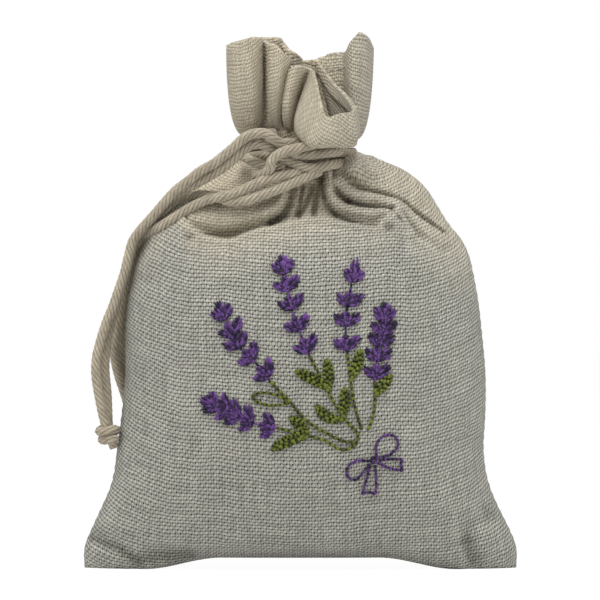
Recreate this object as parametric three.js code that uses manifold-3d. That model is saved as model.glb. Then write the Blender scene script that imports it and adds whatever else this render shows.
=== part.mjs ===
// Lavender sachet: a stuffed linen pouch, its gathered neck tied with cord, worked with a bunch of lavender.
// Millimetres, +Z up. The front faces -Y and +X is to the right of someone who looks at it.
// The origin is on the surface that the sachet stands on, below the middle of the bag.
import * as THREE from "three";
import * as BufferGeometryUtils from "three/addons/utils/BufferGeometryUtils.js";
import Module from "manifold-3d";

const wasm = await Module();
wasm.setup();

// Clearance between pieces that touch
const FIT = 0.3;

// Bag: corner to corner, front to back where it is fullest, and the height where the gathered neck begins
const BAG_WIDTH = 100;
const BAG_DEPTH = 45;
const BACK_SWELL = 0.9;
const NECK_BASE = 91.6;
const CLOTH = 0.8;
const BOTTOM_ARCH = 2.8;
const ARCH_RUN = 18;
const FOOT_LENGTH = 14;
const SECTION_POWER = 1.15;

// Gathered neck inside its winding, and the ruffle above it
const NECK_WIDTH = 21;
const NECK_DEPTH = 16;
const NECK_LENGTH = 9.2;
const NECK_PLEATS = 7;
const PLEAT_DEPTH = 0.5;
const PLEAT_START = 0.88;
const NECK_BUNCH = 5.5;
const BUNCH_FADE = 4;
const RUFFLE_RISE = 10;
const RUFFLE_LEAN = 0.3;
const HEM_TURN = 3.5;

// Cord, its winding and its knots
const CORD = 2.3;
const WINDING_TURNS = 3;
const WINDING_PITCH = 2.65;
const WINDING_START = 1.4;
const STUB_REACHES = [1.1, 2.1, 3.1];
const TIE_KNOT_RADIUS = 3.7;
const TIE_KNOT_THICKNESS = 4.6;
const TIE_KNOT_X = -4.4;
const TIE_KNOT_RISE = 3.9;
const END_KNOT_RADIUS = 2.6;
const END_KNOT_LENGTH = 5.2;
const KNOT_SIDES = 12;

// Profile of a drawn-in knot: share of its radius, share of its length
const KNOT_PROFILE = [[0, 0], [0.62, 0], [0.92, 0.22], [1, 0.5], [0.92, 0.78], [0.62, 1], [0, 1]];

// Sewing thread and embroidery
const THREAD = 0.5;
const STITCH = 0.6;
const STEM_WIDTH = 0.8;
const LEAF_WIDTH = 2.2;
const LEAF_TIP = 0.12;
const LEAF_FULLNESS = 0.8;
const FLORET_WAIST = 0.5;
const FLORET_SWELL = [2.3, 2];
const FLORET_TIP = 0.55;

// Cloth grid
const COLUMNS = 28;
const RUFFLE_ROWS = 5;

// Shape of the stuffed bag: share of the neck's height, then left and right half width as shares of half the
// bag's width, then half depth as a share of half the bag's depth. The neck itself is the last row.
const BODY_SHAPE = [
  [0.0, 1.0, 1.0, 0.42],
  [0.055, 0.998, 0.998, 0.56],
  [0.1, 0.963, 0.963, 0.68],
  [0.153, 0.92, 0.915, 0.79],
  [0.218, 0.87, 0.868, 0.89],
  [0.295, 0.85, 0.848, 0.95],
  [0.393, 0.826, 0.855, 0.985],
  [0.491, 0.81, 0.856, 1.0],
  [0.59, 0.81, 0.84, 0.985],
  [0.677, 0.803, 0.82, 0.95],
  [0.742, 0.782, 0.798, 0.915],
  [0.791, 0.745, 0.77, 0.865],
  [0.83, 0.722, 0.742, 0.79],
  [0.862, 0.676, 0.694, 0.69],
  [0.895, 0.62, 0.652, 0.57],
  [0.928, 0.556, 0.614, 0.48],
  [0.961, 0.478, 0.566, 0.41],
  [0.986, 0.38, 0.44, 0.37],
  [1.0, NECK_WIDTH / BAG_WIDTH, NECK_WIDTH / BAG_WIDTH, NECK_DEPTH / BAG_DEPTH],
];

// Scallops of the front ridge, where the pleats run into the belly: place across, rise and half length
const RIDGE_SCALLOPS = [
  [-17, -3.4, 4.5],
  [4, 1.2, 5],
  [22.5, 2.4, 4],
];
const RIDGE_FADE = [0.775, 0.84, 0.88, 0.95];

// Hem of the ruffle from the left seam to the right seam: across, out from the middle, above the neck's top
const FRONT_HEM = [
  [-17.2, 0, 19.8], [-14.5, 8.5, 21.3], [-10.3, 10, 22], [-7.5, 7, 20.4], [-4.5, 10.5, 18.7], [-1.5, 9, 16.2],
  [1.5, 11.5, 13.7], [5.5, 18.5, 6.6], [10.5, 20, 4.8], [13.5, 14, 7.6], [13.2, 7, 14.6], [14.6, 3.5, 22.6],
  [17, 0, 18.5],
];
const BACK_HEM = [
  [-17.2, 0, 19.8], [-14, 8, 18.2], [-9, 10.5, 17.2], [-4, 8.5, 18.2], [0, 11, 17.7], [5, 9, 18.2],
  [10, 11, 18.2], [14, 7.5, 19.4], [17, 0, 18.5],
];

// Cord routes, from the tie knot over the left shoulder to the pivot, and from there down to the end knots
const SHOULDER_ROUTES = {
  a1: [[-8.4, -15.4, 98.5], [-11.5, -15.8, 100.4], [-15.5, -15, 99], [-21, -13.4, 95], [-27.6, -12.6, 92.8],
    [-32.3, -10.4, 89], [-35.8, -7.7, 84.6], [-37.6, -5.3, 80], [-38, -3.95, 77.6]],
  a2: [[-8.4, -15.4, 95.5], [-11.5, -15, 96.6], [-15.5, -14, 95.5], [-20, -12, 92.6], [-26.6, -10.8, 90.4],
    [-31.2, -8, 87], [-34.6, -4.9, 83.2], [-36.9, -2, 79.5], [-37.9, -1.32, 77.6]],
  b1: [[-8.2, -15.3, 92.8], [-12, -14.8, 91.9], [-16.5, -13.2, 90.2], [-21, -10.8, 88.8], [-25.8, -9.2, 87.6],
    [-30.1, -5.6, 85.1], [-33.6, -2, 82.2], [-36.3, 0.85, 79.1], [-37.9, 1.32, 77.6]],
  b2: [[-6.2, -15.3, 90.8], [-11, -14.2, 88.6], [-16, -11.6, 87.2], [-20.5, -8.6, 86.8], [-25.2, -5.8, 86.7],
    [-29.9, -1.9, 85.3], [-33.5, 1.5, 82.1], [-36.2, 3.7, 78.9], [-37.9, 3.95, 77.6]],
};
const HANGING_ROUTES = {
  a1: [[-38.6, -3.95, 76.4], [-39.8, -4, 72], [-41.8, -4.2, 66], [-44.3, -4.5, 59], [-46.7, -4.8, 52],
    [-47.4, -5, 46], [-46.6, -5.1, 40.5], [-45.5, -5, 36], [-45.2, -5, 33.3]],
  a2: [[-38.6, -1.32, 76.4], [-39.8, -1.3, 72], [-41.7, -1.5, 66], [-43.8, -1.7, 59], [-45.4, -1.9, 52],
    [-45.6, -2.1, 46], [-44.9, -2.3, 40.5], [-44.5, -2.3, 36], [-44.4, -2.3, 33.3]],
  b1: [[-38.6, 1.32, 76.4], [-39.8, 1.5, 72], [-41.4, 2.3, 66], [-42.6, 3.6, 59], [-42.9, 5.4, 52],
    [-42.2, 7.6, 46], [-40.8, 9.8, 40], [-39.4, 11.8, 34], [-38.6, 13, 29.6]],
  b2: [[-38.6, 3.95, 76.4], [-39.5, 4.2, 72], [-40.8, 5, 66], [-41.5, 6.3, 59], [-41.4, 8.1, 52],
    [-40.4, 10.2, 46], [-39, 12.3, 40], [-37.7, 14.2, 34], [-37, 15.3, 29.6]],
};
const SHOULDER_STEPS = 11;
const HANGING_STEPS = 9;
const CORD_SIDES = 8;
const BALL_RINGS = 6;
const THREAD_SIDES = 6;
const LOOP_STEPS = 24;
const LOOP_SIDES = 6;

// Embroidery in the front view: places across and up. A spike runs from its tip to its stem.
const SPRIGS = [
  { spike: [[-19, 60.4], [-16.3, 55.5], [-12.2, 49.2], [-8, 44.4]],
    stem: [[-6.8, 43], [-2.4, 38.3], [3.1, 33.2], [8.2, 30.4], [11.3, 29.1]] },
  { spike: [[-4.6, 71.2], [-3.4, 65.8], [-2, 58.8], [1.4, 50.2]],
    stem: [[2.1, 48.6], [4.7, 44.3], [6.4, 40.4], [8.6, 36.6], [11.9, 31.2]] },
  { spike: [[13.1, 72], [12.2, 67], [10.8, 60], [10.5, 50.6]],
    stem: [[10.7, 48.9], [11.9, 42.7], [13.4, 35.5], [14.3, 32.2]] },
  { spike: [[19.8, 60.6], [19.3, 56.4], [18.2, 50.4], [17.4, 44.4]],
    stem: [[17.3, 42.8], [17.2, 39.9], [16.6, 35.1], [15.8, 32.2]] },
  { spike: [[-22.4, 38.9], [-17.8, 37.6], [-12.6, 34.8], [-7.2, 32.6]],
    stem: [[-5.4, 32.2], [2, 30.4], [6.4, 28.6], [9.3, 27.2], [11.2, 27]] },
];
const FLORETS = 5;

// Leaves in the front view, each from its tip to its base beside a stem
const LEAVES = [
  [[-11.2, 40.4], [-4, 39.1]],
  [[-1.3, 45.5], [4.8, 41.6]],
  [[6.4, 48.3], [6.7, 41.9]],
  [[3.6, 37.6], [8.9, 34.6]],
  [[9.8, 41.8], [10.2, 35.2]],
  [[14.4, 49.8], [13, 43.8]],
  [[21, 44.8], [18, 40.6]],
  [[-2.4, 34.8], [1.2, 31.6]],
  [[-6.8, 27.2], [0.6, 29.8]],
];

// Bow in the front view, round its outline
const BOW = [
  [16.2, 25.6], [19, 29.8], [22.2, 29], [20.6, 25.9], [18.2, 24.6], [23.6, 24.4], [22.6, 22.2], [17.6, 23.2],
  [17.2, 17.6], [14.6, 16.4], [15.8, 22.2], [12.6, 19.8], [10.8, 21.8], [12.4, 24.2],
];

const EDGE_FALL = 8;
const EDGE_STEP = 0.9;
const SEAM_END_COLUMNS = 3;
const GAP_SAMPLES = 400;

const halfWidth = BAG_WIDTH / 2;
const halfDepth = BAG_DEPTH / 2;
const neckTop = NECK_BASE + NECK_LENGTH;
const cordRadius = CORD / 2;

const bodyTable = new THREE.CubicInterpolant(
  BODY_SHAPE.map((row) => row[0]),
  BODY_SHAPE.flatMap((row) => row.slice(1)),
  3,
);

function smooth(from, to, value) {
  return THREE.MathUtils.smoothstep(value, from, to);
}

// Left and right half width and half depth of the bag at a height
function sectionAt(height) {
  const [left, right, depth] = bodyTable.evaluate(height / NECK_BASE);
  return { left: left * halfWidth, right: right * halfWidth, depth: depth * halfDepth };
}

// A section's point: across follows a sine and out a power of a cosine, so the sides meet in a soft edge
function sectionPoint(section, across) {
  const angle = across * Math.PI / 2;
  const reach = Math.sin(angle);
  const x = reach < 0 ? reach * section.left : reach * section.right;
  return { x, out: section.depth * Math.max(Math.cos(angle), 0) ** SECTION_POWER };
}

// Height of the bottom seam: its corners stand on the surface and its middle is drawn up
function bottomHeight(x) {
  const footEnd = halfWidth - FOOT_LENGTH;
  return CLOTH / 2 + BOTTOM_ARCH * (1 - smooth(footEnd - ARCH_RUN, footEnd, Math.abs(x)));
}

// Rise of the front ridge where the pleats of the shoulder run into the belly
function ridgeRise(x, share) {
  const [low, full, hold, high] = RIDGE_FADE;
  const weight = smooth(low, full, share) * (1 - smooth(hold, high, share));
  const bump = ([place, rise, reach]) => rise * Math.exp(-(((x - place) / reach) ** 2));
  return weight * RIDGE_SCALLOPS.map(bump).reduce((sum, rise) => sum + rise, 0);
}

// Pleats of the gathered neck: a wave round the neck that fades into the shoulder and into the ruffle
function pleatWave(across, weight) {
  const wave = Math.cos(across * NECK_PLEATS * Math.PI) - 1;
  return weight * PLEAT_DEPTH * wave * Math.cos(across * Math.PI / 2);
}

// Middle surface of one panel as rows of points from the bottom seam to the hem
function panelRows(side) {
  const hem = new THREE.CatmullRomCurve3(
    (side < 0 ? FRONT_HEM : BACK_HEM).map(([x, out, up]) => new THREE.Vector3(x, out, neckTop + up)),
  );
  const acrossAt = (column) => -1 + 2 * column / COLUMNS;
  const placed = (x, out, z) => new THREE.Vector3(x, side * (FIT / 2 + out), z);
  const row = (make) => Array.from({ length: COLUMNS + 1 }, (_, column) => make(acrossAt(column)));

  const seam = row((across) => {
    const { x } = sectionPoint(sectionAt(0), across);
    return placed(x, 0, bottomHeight(x));
  });
  const floorEdge = row((across) => {
    const { x, out } = sectionPoint(sectionAt(0), across);
    return placed(x, out, bottomHeight(x) + EDGE_STEP * Math.abs(across) ** EDGE_FALL);
  });
  const body = BODY_SHAPE.slice(1).map(([share]) => row((across) => {
    const height = share * NECK_BASE;
    const { x, out } = sectionPoint(sectionAt(height), across);
    const rise = side < 0 ? ridgeRise(x, share) * Math.cos(across * Math.PI / 2) : 0;
    const swell = side > 0 ? BACK_SWELL * smooth(0.5, 1, out / halfDepth) : 0;
    return placed(x, out + swell + pleatWave(across, smooth(PLEAT_START, 1, share)), height + rise);
  }));
  const neckSection = sectionAt(NECK_BASE);
  const neckEnd = row((across) => {
    const { x, out } = sectionPoint(neckSection, across);
    return placed(x, out + pleatWave(across, 1), neckTop);
  });
  const ruffle = Array.from({ length: RUFFLE_ROWS }, (_, index) => row((across) => {
    const share = (index + 1) / RUFFLE_ROWS;
    const { x, out } = sectionPoint(neckSection, across);
    const start = new THREE.Vector3(x, out + pleatWave(across, 1), neckTop);
    const end = hem.getPoint((across + 1) / 2);
    const turn = start.clone().lerp(end, RUFFLE_LEAN);
    turn.z = Math.max(turn.z, neckTop + RUFFLE_RISE);
    const point = new THREE.QuadraticBezierCurve3(start, turn, end).getPoint(share);
    return placed(point.x, Math.max(point.y, 0), point.z);
  }));
  return [seam, floorEdge, ...body, neckEnd, ...ruffle];
}

// Outward normals of the rows: straight down along the floor, and level with the seam at the side edges
function panelNormals(rows, side) {
  const geometry = gridGeometry(rows);
  geometry.computeVertexNormals();
  const attribute = geometry.getAttribute("normal");
  return rows.map((row, rowIndex) => row.map((_, column) => {
    const normal = new THREE.Vector3().fromBufferAttribute(attribute, rowIndex * row.length + column);
    normal.multiplyScalar(-side);
    if (rowIndex < 2) {
      normal.set(0, 0, -1);
    }
    if (column === 0 || column === COLUMNS) {
      normal.x += rowIndex < 2 ? Math.sign(column - 1) : 0;
      normal.y = 0;
    }
    return normal.normalize();
  }));
}

function gridGeometry(rows) {
  const width = rows[0].length;
  const index = [];
  for (let row = 0; row + 1 < rows.length; row += 1) {
    for (let column = 0; column + 1 < width; column += 1) {
      const corner = row * width + column;
      index.push(corner, corner + 1, corner + width + 1, corner, corner + width + 1, corner + width);
    }
  }
  return new THREE.BufferGeometry().setFromPoints(rows.flat()).setIndex(index);
}

function shifted(rows, normals, distance) {
  return rows.map((row, index) => row.map((point, column) => (
    point.clone().addScaledVector(normals[index][column], distance)
  )));
}

// A closed sheet between two grids of rows, with its four edges
function sheetGeometry(outer, inner) {
  const height = outer.length;
  const width = outer[0].length;
  const index = [];
  const quad = (a, b, c, d) => index.push(a, b, c, a, c, d);
  const outside = (row, column) => row * width + column;
  const inside = (row, column) => height * width + row * width + column;
  for (let row = 0; row + 1 < height; row += 1) {
    for (let column = 0; column + 1 < width; column += 1) {
      const [up, next] = [row + 1, column + 1];
      quad(outside(row, column), outside(row, next), outside(up, next), outside(up, column));
      quad(inside(row, column), inside(up, column), inside(up, next), inside(row, next));
    }
    quad(outside(row + 1, 0), inside(row + 1, 0), inside(row, 0), outside(row, 0));
    const last = width - 1;
    quad(outside(row, last), inside(row, last), inside(row + 1, last), outside(row + 1, last));
  }
  for (let column = 0; column + 1 < width; column += 1) {
    quad(outside(0, column), inside(0, column), inside(0, column + 1), outside(0, column + 1));
    const top = height - 1;
    quad(outside(top, column + 1), inside(top, column + 1), inside(top, column), outside(top, column));
  }
  const points = [...outer.flat(), ...inner.flat()];
  return facingOut(new THREE.BufferGeometry().setFromPoints(points).setIndex(index));
}

// Turns a closed mesh so that its faces point out, by the sign of the volume that it encloses
function facingOut(geometry) {
  const position = geometry.getAttribute("position");
  const index = geometry.getIndex().array;
  const corner = (place) => new THREE.Vector3().fromBufferAttribute(position, index[place]);
  let volume = 0;
  for (let place = 0; place < index.length; place += 3) {
    volume += corner(place).dot(corner(place + 1).cross(corner(place + 2)));
  }
  if (volume < 0) {
    geometry.setIndex(Array.from(index).reverse());
  }
  return geometry;
}

const frontRows = panelRows(-1);
const backRows = panelRows(1);
const frontNormals = panelNormals(frontRows, -1);
const backNormals = panelNormals(backRows, 1);

// One panel: a wall of cloth that thickens inwards where the neck's pleats are bunched
function panel(rows, normals) {
  const inner = rows.map((row, index) => row.map((point, column) => {
    const { z } = frontRows[index][column];
    const above = smooth(neckTop, neckTop + BUNCH_FADE, z);
    const bunched = smooth(NECK_BASE - BUNCH_FADE, NECK_BASE, z) * (1 - above);
    const middle = Math.sin(Math.PI * column / COLUMNS);
    const depth = CLOTH / 2 + (NECK_BUNCH - CLOTH) * bunched * middle;
    return point.clone().addScaledVector(normals[index][column], -depth);
  }));
  return sheetGeometry(shifted(rows, normals, CLOTH / 2), inner);
}

// Filling: the inside of the bag below the shoulder, clear of the panels and of the seam threads
const FILL_TOP_ROW = 16;
const FILL_EDGE_COLUMNS = 3;
const FILL_FLOOR_DRAW = 0.93;

function lavenderFill() {
  const inset = -(CLOTH / 2 + FIT);
  const floorLift = CLOTH / 2 + 2 * FIT + THREAD;
  const keep = (rows, normals) => shifted(rows, normals, inset)
    .slice(1, FILL_TOP_ROW)
    .map((row) => row.slice(FILL_EDGE_COLUMNS, COLUMNS + 1 - FILL_EDGE_COLUMNS));
  const lifted = (rows) => {
    rows[0].forEach((point) => {
      point.z = bottomHeight(point.x) + floorLift;
      point.y *= FILL_FLOOR_DRAW;
    });
    return rows;
  };
  return sheetGeometry(lifted(keep(frontRows, frontNormals)), lifted(keep(backRows, backNormals)));
}

// A round tube along a smooth curve through points
function tube(points, diameter, sides, steps) {
  const ring = Array.from({ length: sides }, (_, index) => {
    const angle = 2 * Math.PI * (index + 0.5) / sides;
    return new THREE.Vector2(Math.cos(angle), Math.sin(angle)).multiplyScalar(diameter / 2);
  });
  const path = new THREE.CatmullRomCurve3(points);
  return new THREE.ExtrudeGeometry(new THREE.Shape(ring), { steps, extrudePath: path, bevelEnabled: false });
}

// Seam thread inside a side edge, from the bottom corner to the hem
function sideSeamThread(column) {
  const inward = CLOTH / 2 + FIT + THREAD / 2;
  const direction = column === 0 ? 1 : -1;
  const points = frontRows.slice(2, -1).map((row, index) => {
    const normal = frontNormals[index + 2][column];
    const point = row[column].clone().addScaledVector(normal, -inward);
    return new THREE.Vector3(point.x + direction * FIT / 2, 0, point.z);
  });
  return tube(points, THREAD, THREAD_SIDES, 2 * points.length);
}

function bottomSeamThread() {
  const lift = CLOTH / 2 + FIT + THREAD / 2;
  const row = frontRows[0].slice(SEAM_END_COLUMNS, COLUMNS + 1 - SEAM_END_COLUMNS);
  const points = row.map((point) => new THREE.Vector3(point.x, 0, point.z + lift));
  return tube(points, THREAD, THREAD_SIDES, COLUMNS);
}

// Hem thread outside the ruffle, one turn of the hem below its edge
function hemThread(rows, normals) {
  const lift = CLOTH / 2 + FIT + THREAD / 2;
  const top = rows.length - 1;
  const points = rows[top].slice(1, COLUMNS).map((edge, index) => {
    const below = rows[top - 1][index + 1];
    const point = edge.clone().lerp(below, HEM_TURN / edge.distanceTo(below));
    const normal = normals[top][index + 1].clone().add(normals[top - 1][index + 1]).normalize();
    return point.addScaledVector(normal, lift);
  });
  return tube(points, THREAD, THREAD_SIDES, COLUMNS);
}

// Turns of cord round the neck, from behind the tie knot and back to it. Both ends turn out to the knot.
function neckWinding() {
  const across = NECK_WIDTH / 2 + CLOTH / 2 + FIT + cordRadius;
  const out = NECK_DEPTH / 2 + CLOTH / 2 + FIT + cordRadius;
  const startAngle = Math.asin((TIE_KNOT_X + CORD) / across);
  const endAngle = 2 * Math.PI * WINDING_TURNS + Math.asin((TIE_KNOT_X - CORD) / across);
  const low = NECK_BASE + WINDING_START;
  const rise = WINDING_PITCH / (2 * Math.PI);
  const steps = LOOP_STEPS * WINDING_TURNS;
  const turns = Array.from({ length: steps + 1 }, (_, index) => {
    const angle = THREE.MathUtils.lerp(startAngle, endAngle, index / steps);
    const height = low + rise * (angle - startAngle);
    return new THREE.Vector3(across * Math.sin(angle), -out * Math.cos(angle), height);
  });
  const stub = (turn, direction) => STUB_REACHES.map((reach) => new THREE.Vector3(
    turn.x + direction * cordRadius, turn.y - reach * cordRadius, turn.z,
  ));
  const points = [...stub(turns[0], -1).reverse(), ...turns, ...stub(turns[steps], 1)];
  return { geometry: tube(points, CORD, LOOP_SIDES, points.length), points };
}

// Least gap between the turns, measured on points of the centre line more than half a turn apart
function leastGap(points) {
  const path = new THREE.CatmullRomCurve3(points).getSpacedPoints(GAP_SAMPLES);
  const halfTurn = Math.ceil(GAP_SAMPLES / (2 * WINDING_TURNS));
  let least = Infinity;
  for (let first = 0; first < path.length; first += 1) {
    for (let second = first + halfTurn; second < path.length; second += 1) {
      least = Math.min(least, path[first].distanceTo(path[second]));
    }
  }
  return least - CORD;
}

// A knot as a drawn-in lump round its own axis
function knotLump(radius, length) {
  const points = KNOT_PROFILE.map(([out, along]) => new THREE.Vector2(out * radius, along * length));
  return new THREE.LatheGeometry(points, KNOT_SIDES);
}

function solidOf(geometry) {
  const bare = geometry.clone();
  bare.deleteAttribute("normal");
  bare.deleteAttribute("uv");
  const merged = BufferGeometryUtils.mergeVertices(bare, 1e-4);
  return new wasm.Manifold(new wasm.Mesh({
    numProp: 3,
    vertProperties: Float32Array.from(merged.getAttribute("position").array),
    triVerts: Uint32Array.from(merged.getIndex().array),
  }));
}

function geometryOf(solid) {
  const mesh = solid.getMesh();
  const geometry = new THREE.BufferGeometry();
  geometry.setAttribute("position", new THREE.BufferAttribute(mesh.vertProperties, 3));
  return geometry.setIndex(Array.from(mesh.triVerts));
}

const routePoints = (route) => route.map(([x, y, z]) => new THREE.Vector3(x, y, z));

// A hanging strand, with a round end on the pivot that it swings about
function hangingStrand(route) {
  const points = routePoints(route);
  const strand = solidOf(tube(points, CORD, CORD_SIDES, HANGING_STEPS));
  const ball = new THREE.SphereGeometry(cordRadius, CORD_SIDES, BALL_RINGS);
  ball.translate(points[0].x, points[0].y, points[0].z);
  return geometryOf(strand.add(solidOf(ball)));
}

// Front of the cloth at a place of the front view, lifted off the cloth
function onFront(x, z, lift) {
  const surface = (px, pz) => {
    const section = sectionAt(pz);
    const reach = px / (px < 0 ? section.left : section.right);
    return -FIT / 2 - section.depth * (1 - reach * reach) ** (SECTION_POWER / 2);
  };
  const nudge = 0.5;
  const slopeX = (surface(x + nudge, z) - surface(x - nudge, z)) / (2 * nudge);
  const slopeZ = (surface(x, z + nudge) - surface(x, z - nudge)) / (2 * nudge);
  const normal = new THREE.Vector3(slopeX, -1, slopeZ).normalize();
  return new THREE.Vector3(x, surface(x, z), z).addScaledVector(normal, lift);
}

// A flat outline of the front view, laid on the cloth as a pad of stitches
function stitchedPad(outline) {
  const shape = new THREE.Shape(outline);
  const flat = new THREE.ExtrudeGeometry(shape, { depth: STITCH, bevelEnabled: false });
  const position = flat.getAttribute("position");
  const base = CLOTH / 2 + FIT;
  for (let place = 0; place < position.count; place += 1) {
    const point = onFront(position.getX(place), position.getY(place), base + position.getZ(place));
    position.setXYZ(place, point.x, point.y, point.z);
  }
  flat.deleteAttribute("normal");
  flat.deleteAttribute("uv");
  return facingOut(BufferGeometryUtils.mergeVertices(flat, 1e-4));
}

// An outline along a flat curve, with its half width given at each share of the curve
function bandOutline(points, shares, halfWidthAt) {
  const curve = new THREE.SplineCurve(points.map(([x, z]) => new THREE.Vector2(x, z)));
  const edge = (sign) => shares.map((share) => {
    const tangent = curve.getTangent(share);
    const aside = new THREE.Vector2(-tangent.y, tangent.x).multiplyScalar(sign * halfWidthAt(share));
    return curve.getPoint(share).add(aside);
  });
  return [...edge(1), ...edge(-1).reverse()];
}

const evenShares = (count) => Array.from({ length: count + 1 }, (_, index) => index / count);

function stem(points) {
  return stitchedPad(bandOutline(points, evenShares(3 * (points.length - 1)), () => STEM_WIDTH / 2));
}

// A leaf that swells from its tip and narrows to its base
function leaf(points) {
  const swell = (share) => Math.sin(Math.PI * share) ** LEAF_FULLNESS;
  const width = (share) => LEAF_WIDTH / 2 * (LEAF_TIP + (1 - LEAF_TIP) * swell(share));
  return stitchedPad(bandOutline(points, evenShares(6), width));
}

// A flower spike: florets that open upwards, one above another, joined at their waists
function flowerHead(points) {
  const shares = evenShares(3 * FLORETS);
  const swell = [FLORET_WAIST, ...FLORET_SWELL];
  const width = (share) => {
    const step = Math.round(share * 3 * FLORETS);
    const grow = FLORET_TIP + (1 - FLORET_TIP) * Math.min(1, 2 * share);
    return step === 0 || step === 3 * FLORETS ? FLORET_WAIST : grow * swell[step % 3];
  };
  return stitchedPad(bandOutline(points, shares, width));
}

const LINEN = new THREE.MeshStandardMaterial({ color: 0xc6c0b2, roughness: 0.95, metalness: 0 });
const COTTON_CORD = new THREE.MeshStandardMaterial({ color: 0xb3a68c, roughness: 0.95, metalness: 0 });
const PURPLE_THREAD = new THREE.MeshStandardMaterial({ color: 0x5d4582, roughness: 0.6, metalness: 0 });
const GREEN_THREAD = new THREE.MeshStandardMaterial({ color: 0x6a8033, roughness: 0.6, metalness: 0 });
const SEWING_THREAD = new THREE.MeshStandardMaterial({ color: 0xd2cbbb, roughness: 0.8, metalness: 0 });
const DRIED_LAVENDER = new THREE.MeshStandardMaterial({ color: 0x6b6280, roughness: 1, metalness: 0 });

const sachet = new THREE.Group();

function place(name, geometry, material) {
  const mesh = new THREE.Mesh(geometry, material);
  mesh.name = name;
  sachet.add(mesh);
  return mesh;
}

place("front_panel", panel(frontRows, frontNormals), LINEN);
place("back_panel", panel(backRows, backNormals), LINEN);
place("lavender_fill", lavenderFill(), DRIED_LAVENDER);
place("left_seam_thread", sideSeamThread(0), SEWING_THREAD);
place("right_seam_thread", sideSeamThread(COLUMNS), SEWING_THREAD);
place("bottom_seam_thread", bottomSeamThread(), SEWING_THREAD);
place("front_hem_thread", hemThread(frontRows, frontNormals), SEWING_THREAD);
place("back_hem_thread", hemThread(backRows, backNormals), SEWING_THREAD);

const winding = neckWinding();
place("neck_winding", winding.geometry, COTTON_CORD);
console.log(`neck_winding least gap to itself ${leastGap(winding.points).toFixed(2)} mm`);

const tieKnot = place("tie_knot", knotLump(TIE_KNOT_RADIUS, TIE_KNOT_THICKNESS), COTTON_CORD);
tieKnot.rotation.x = Math.PI;
const windingFront = Math.min(...winding.points.map((point) => point.y));
tieKnot.position.set(TIE_KNOT_X, windingFront - FIT, NECK_BASE + TIE_KNOT_RISE);

for (const [strand, route] of Object.entries(SHOULDER_ROUTES)) {
  place(`shoulder_strand_${strand}`, tube(routePoints(route), CORD, CORD_SIDES, SHOULDER_STEPS), COTTON_CORD);
}
for (const [strand, route] of Object.entries(HANGING_ROUTES)) {
  place(`hanging_strand_${strand}`, hangingStrand(route), COTTON_CORD);
}
for (const pair of ["a", "b"]) {
  const ends = ["1", "2"].map((strand) => routePoints(HANGING_ROUTES[pair + strand]).at(-1));
  const middle = ends[0].clone().add(ends[1]).multiplyScalar(0.5);
  const knot = place(`end_knot_${pair}`, knotLump(END_KNOT_RADIUS, END_KNOT_LENGTH), COTTON_CORD);
  knot.rotation.x = -Math.PI / 2;
  knot.position.set(middle.x, middle.y, middle.z - FIT);
}

SPRIGS.forEach((sprig, index) => {
  place(`flower_head_${index + 1}`, flowerHead(sprig.spike), PURPLE_THREAD);
  place(`stem_${index + 1}`, stem(sprig.stem), GREEN_THREAD);
});
LEAVES.forEach((points, index) => place(`leaf_${index + 1}`, leaf(points), GREEN_THREAD));
place("bow", stitchedPad(BOW.map(([x, z]) => new THREE.Vector2(x, z))), PURPLE_THREAD);

export default sachet;
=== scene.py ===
"""Lavender sachet: a stuffed linen pouch with a tied neck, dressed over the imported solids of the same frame.

Shapes are worked out in millimetres: +Z up, the embroidered front faces -Y, and +X is to its right.
"""
import math

import bpy
import numpy as np
from bpy.props import FloatProperty, FloatVectorProperty, PointerProperty
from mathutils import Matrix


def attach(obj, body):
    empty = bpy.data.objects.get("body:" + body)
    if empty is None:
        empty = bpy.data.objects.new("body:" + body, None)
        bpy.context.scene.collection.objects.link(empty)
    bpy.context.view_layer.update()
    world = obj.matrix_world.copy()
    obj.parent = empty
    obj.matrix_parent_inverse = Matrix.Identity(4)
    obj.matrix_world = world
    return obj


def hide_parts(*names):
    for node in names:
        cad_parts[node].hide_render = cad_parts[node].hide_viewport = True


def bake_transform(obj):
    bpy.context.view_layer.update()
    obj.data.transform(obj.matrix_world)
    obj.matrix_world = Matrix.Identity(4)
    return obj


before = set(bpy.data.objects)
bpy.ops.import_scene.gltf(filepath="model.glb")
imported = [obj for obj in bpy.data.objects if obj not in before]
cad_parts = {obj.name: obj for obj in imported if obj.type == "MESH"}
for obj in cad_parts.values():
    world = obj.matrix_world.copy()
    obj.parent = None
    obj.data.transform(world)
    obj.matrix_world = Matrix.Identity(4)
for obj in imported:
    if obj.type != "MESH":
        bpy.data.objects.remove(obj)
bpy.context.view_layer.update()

bl_info = {
    "name": "Lavender sachet",
    "version": (1, 0, 0),
    "blender": (4, 5, 0),
    "location": "3D View > Sidebar > Sachet",
    "description": "Dresses the packed sachet in linen, cord and embroidery",
    "category": "Object",
}

MM = 0.001
CLOTH_UV = "cloth_mm"
THREAD_UV = "thread_mm"
# Point attribute: on the cloth it holds the painted top light; on stitches, each stitch's own tone with painted shade
# towards its ends
SHADE = "shade"

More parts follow.
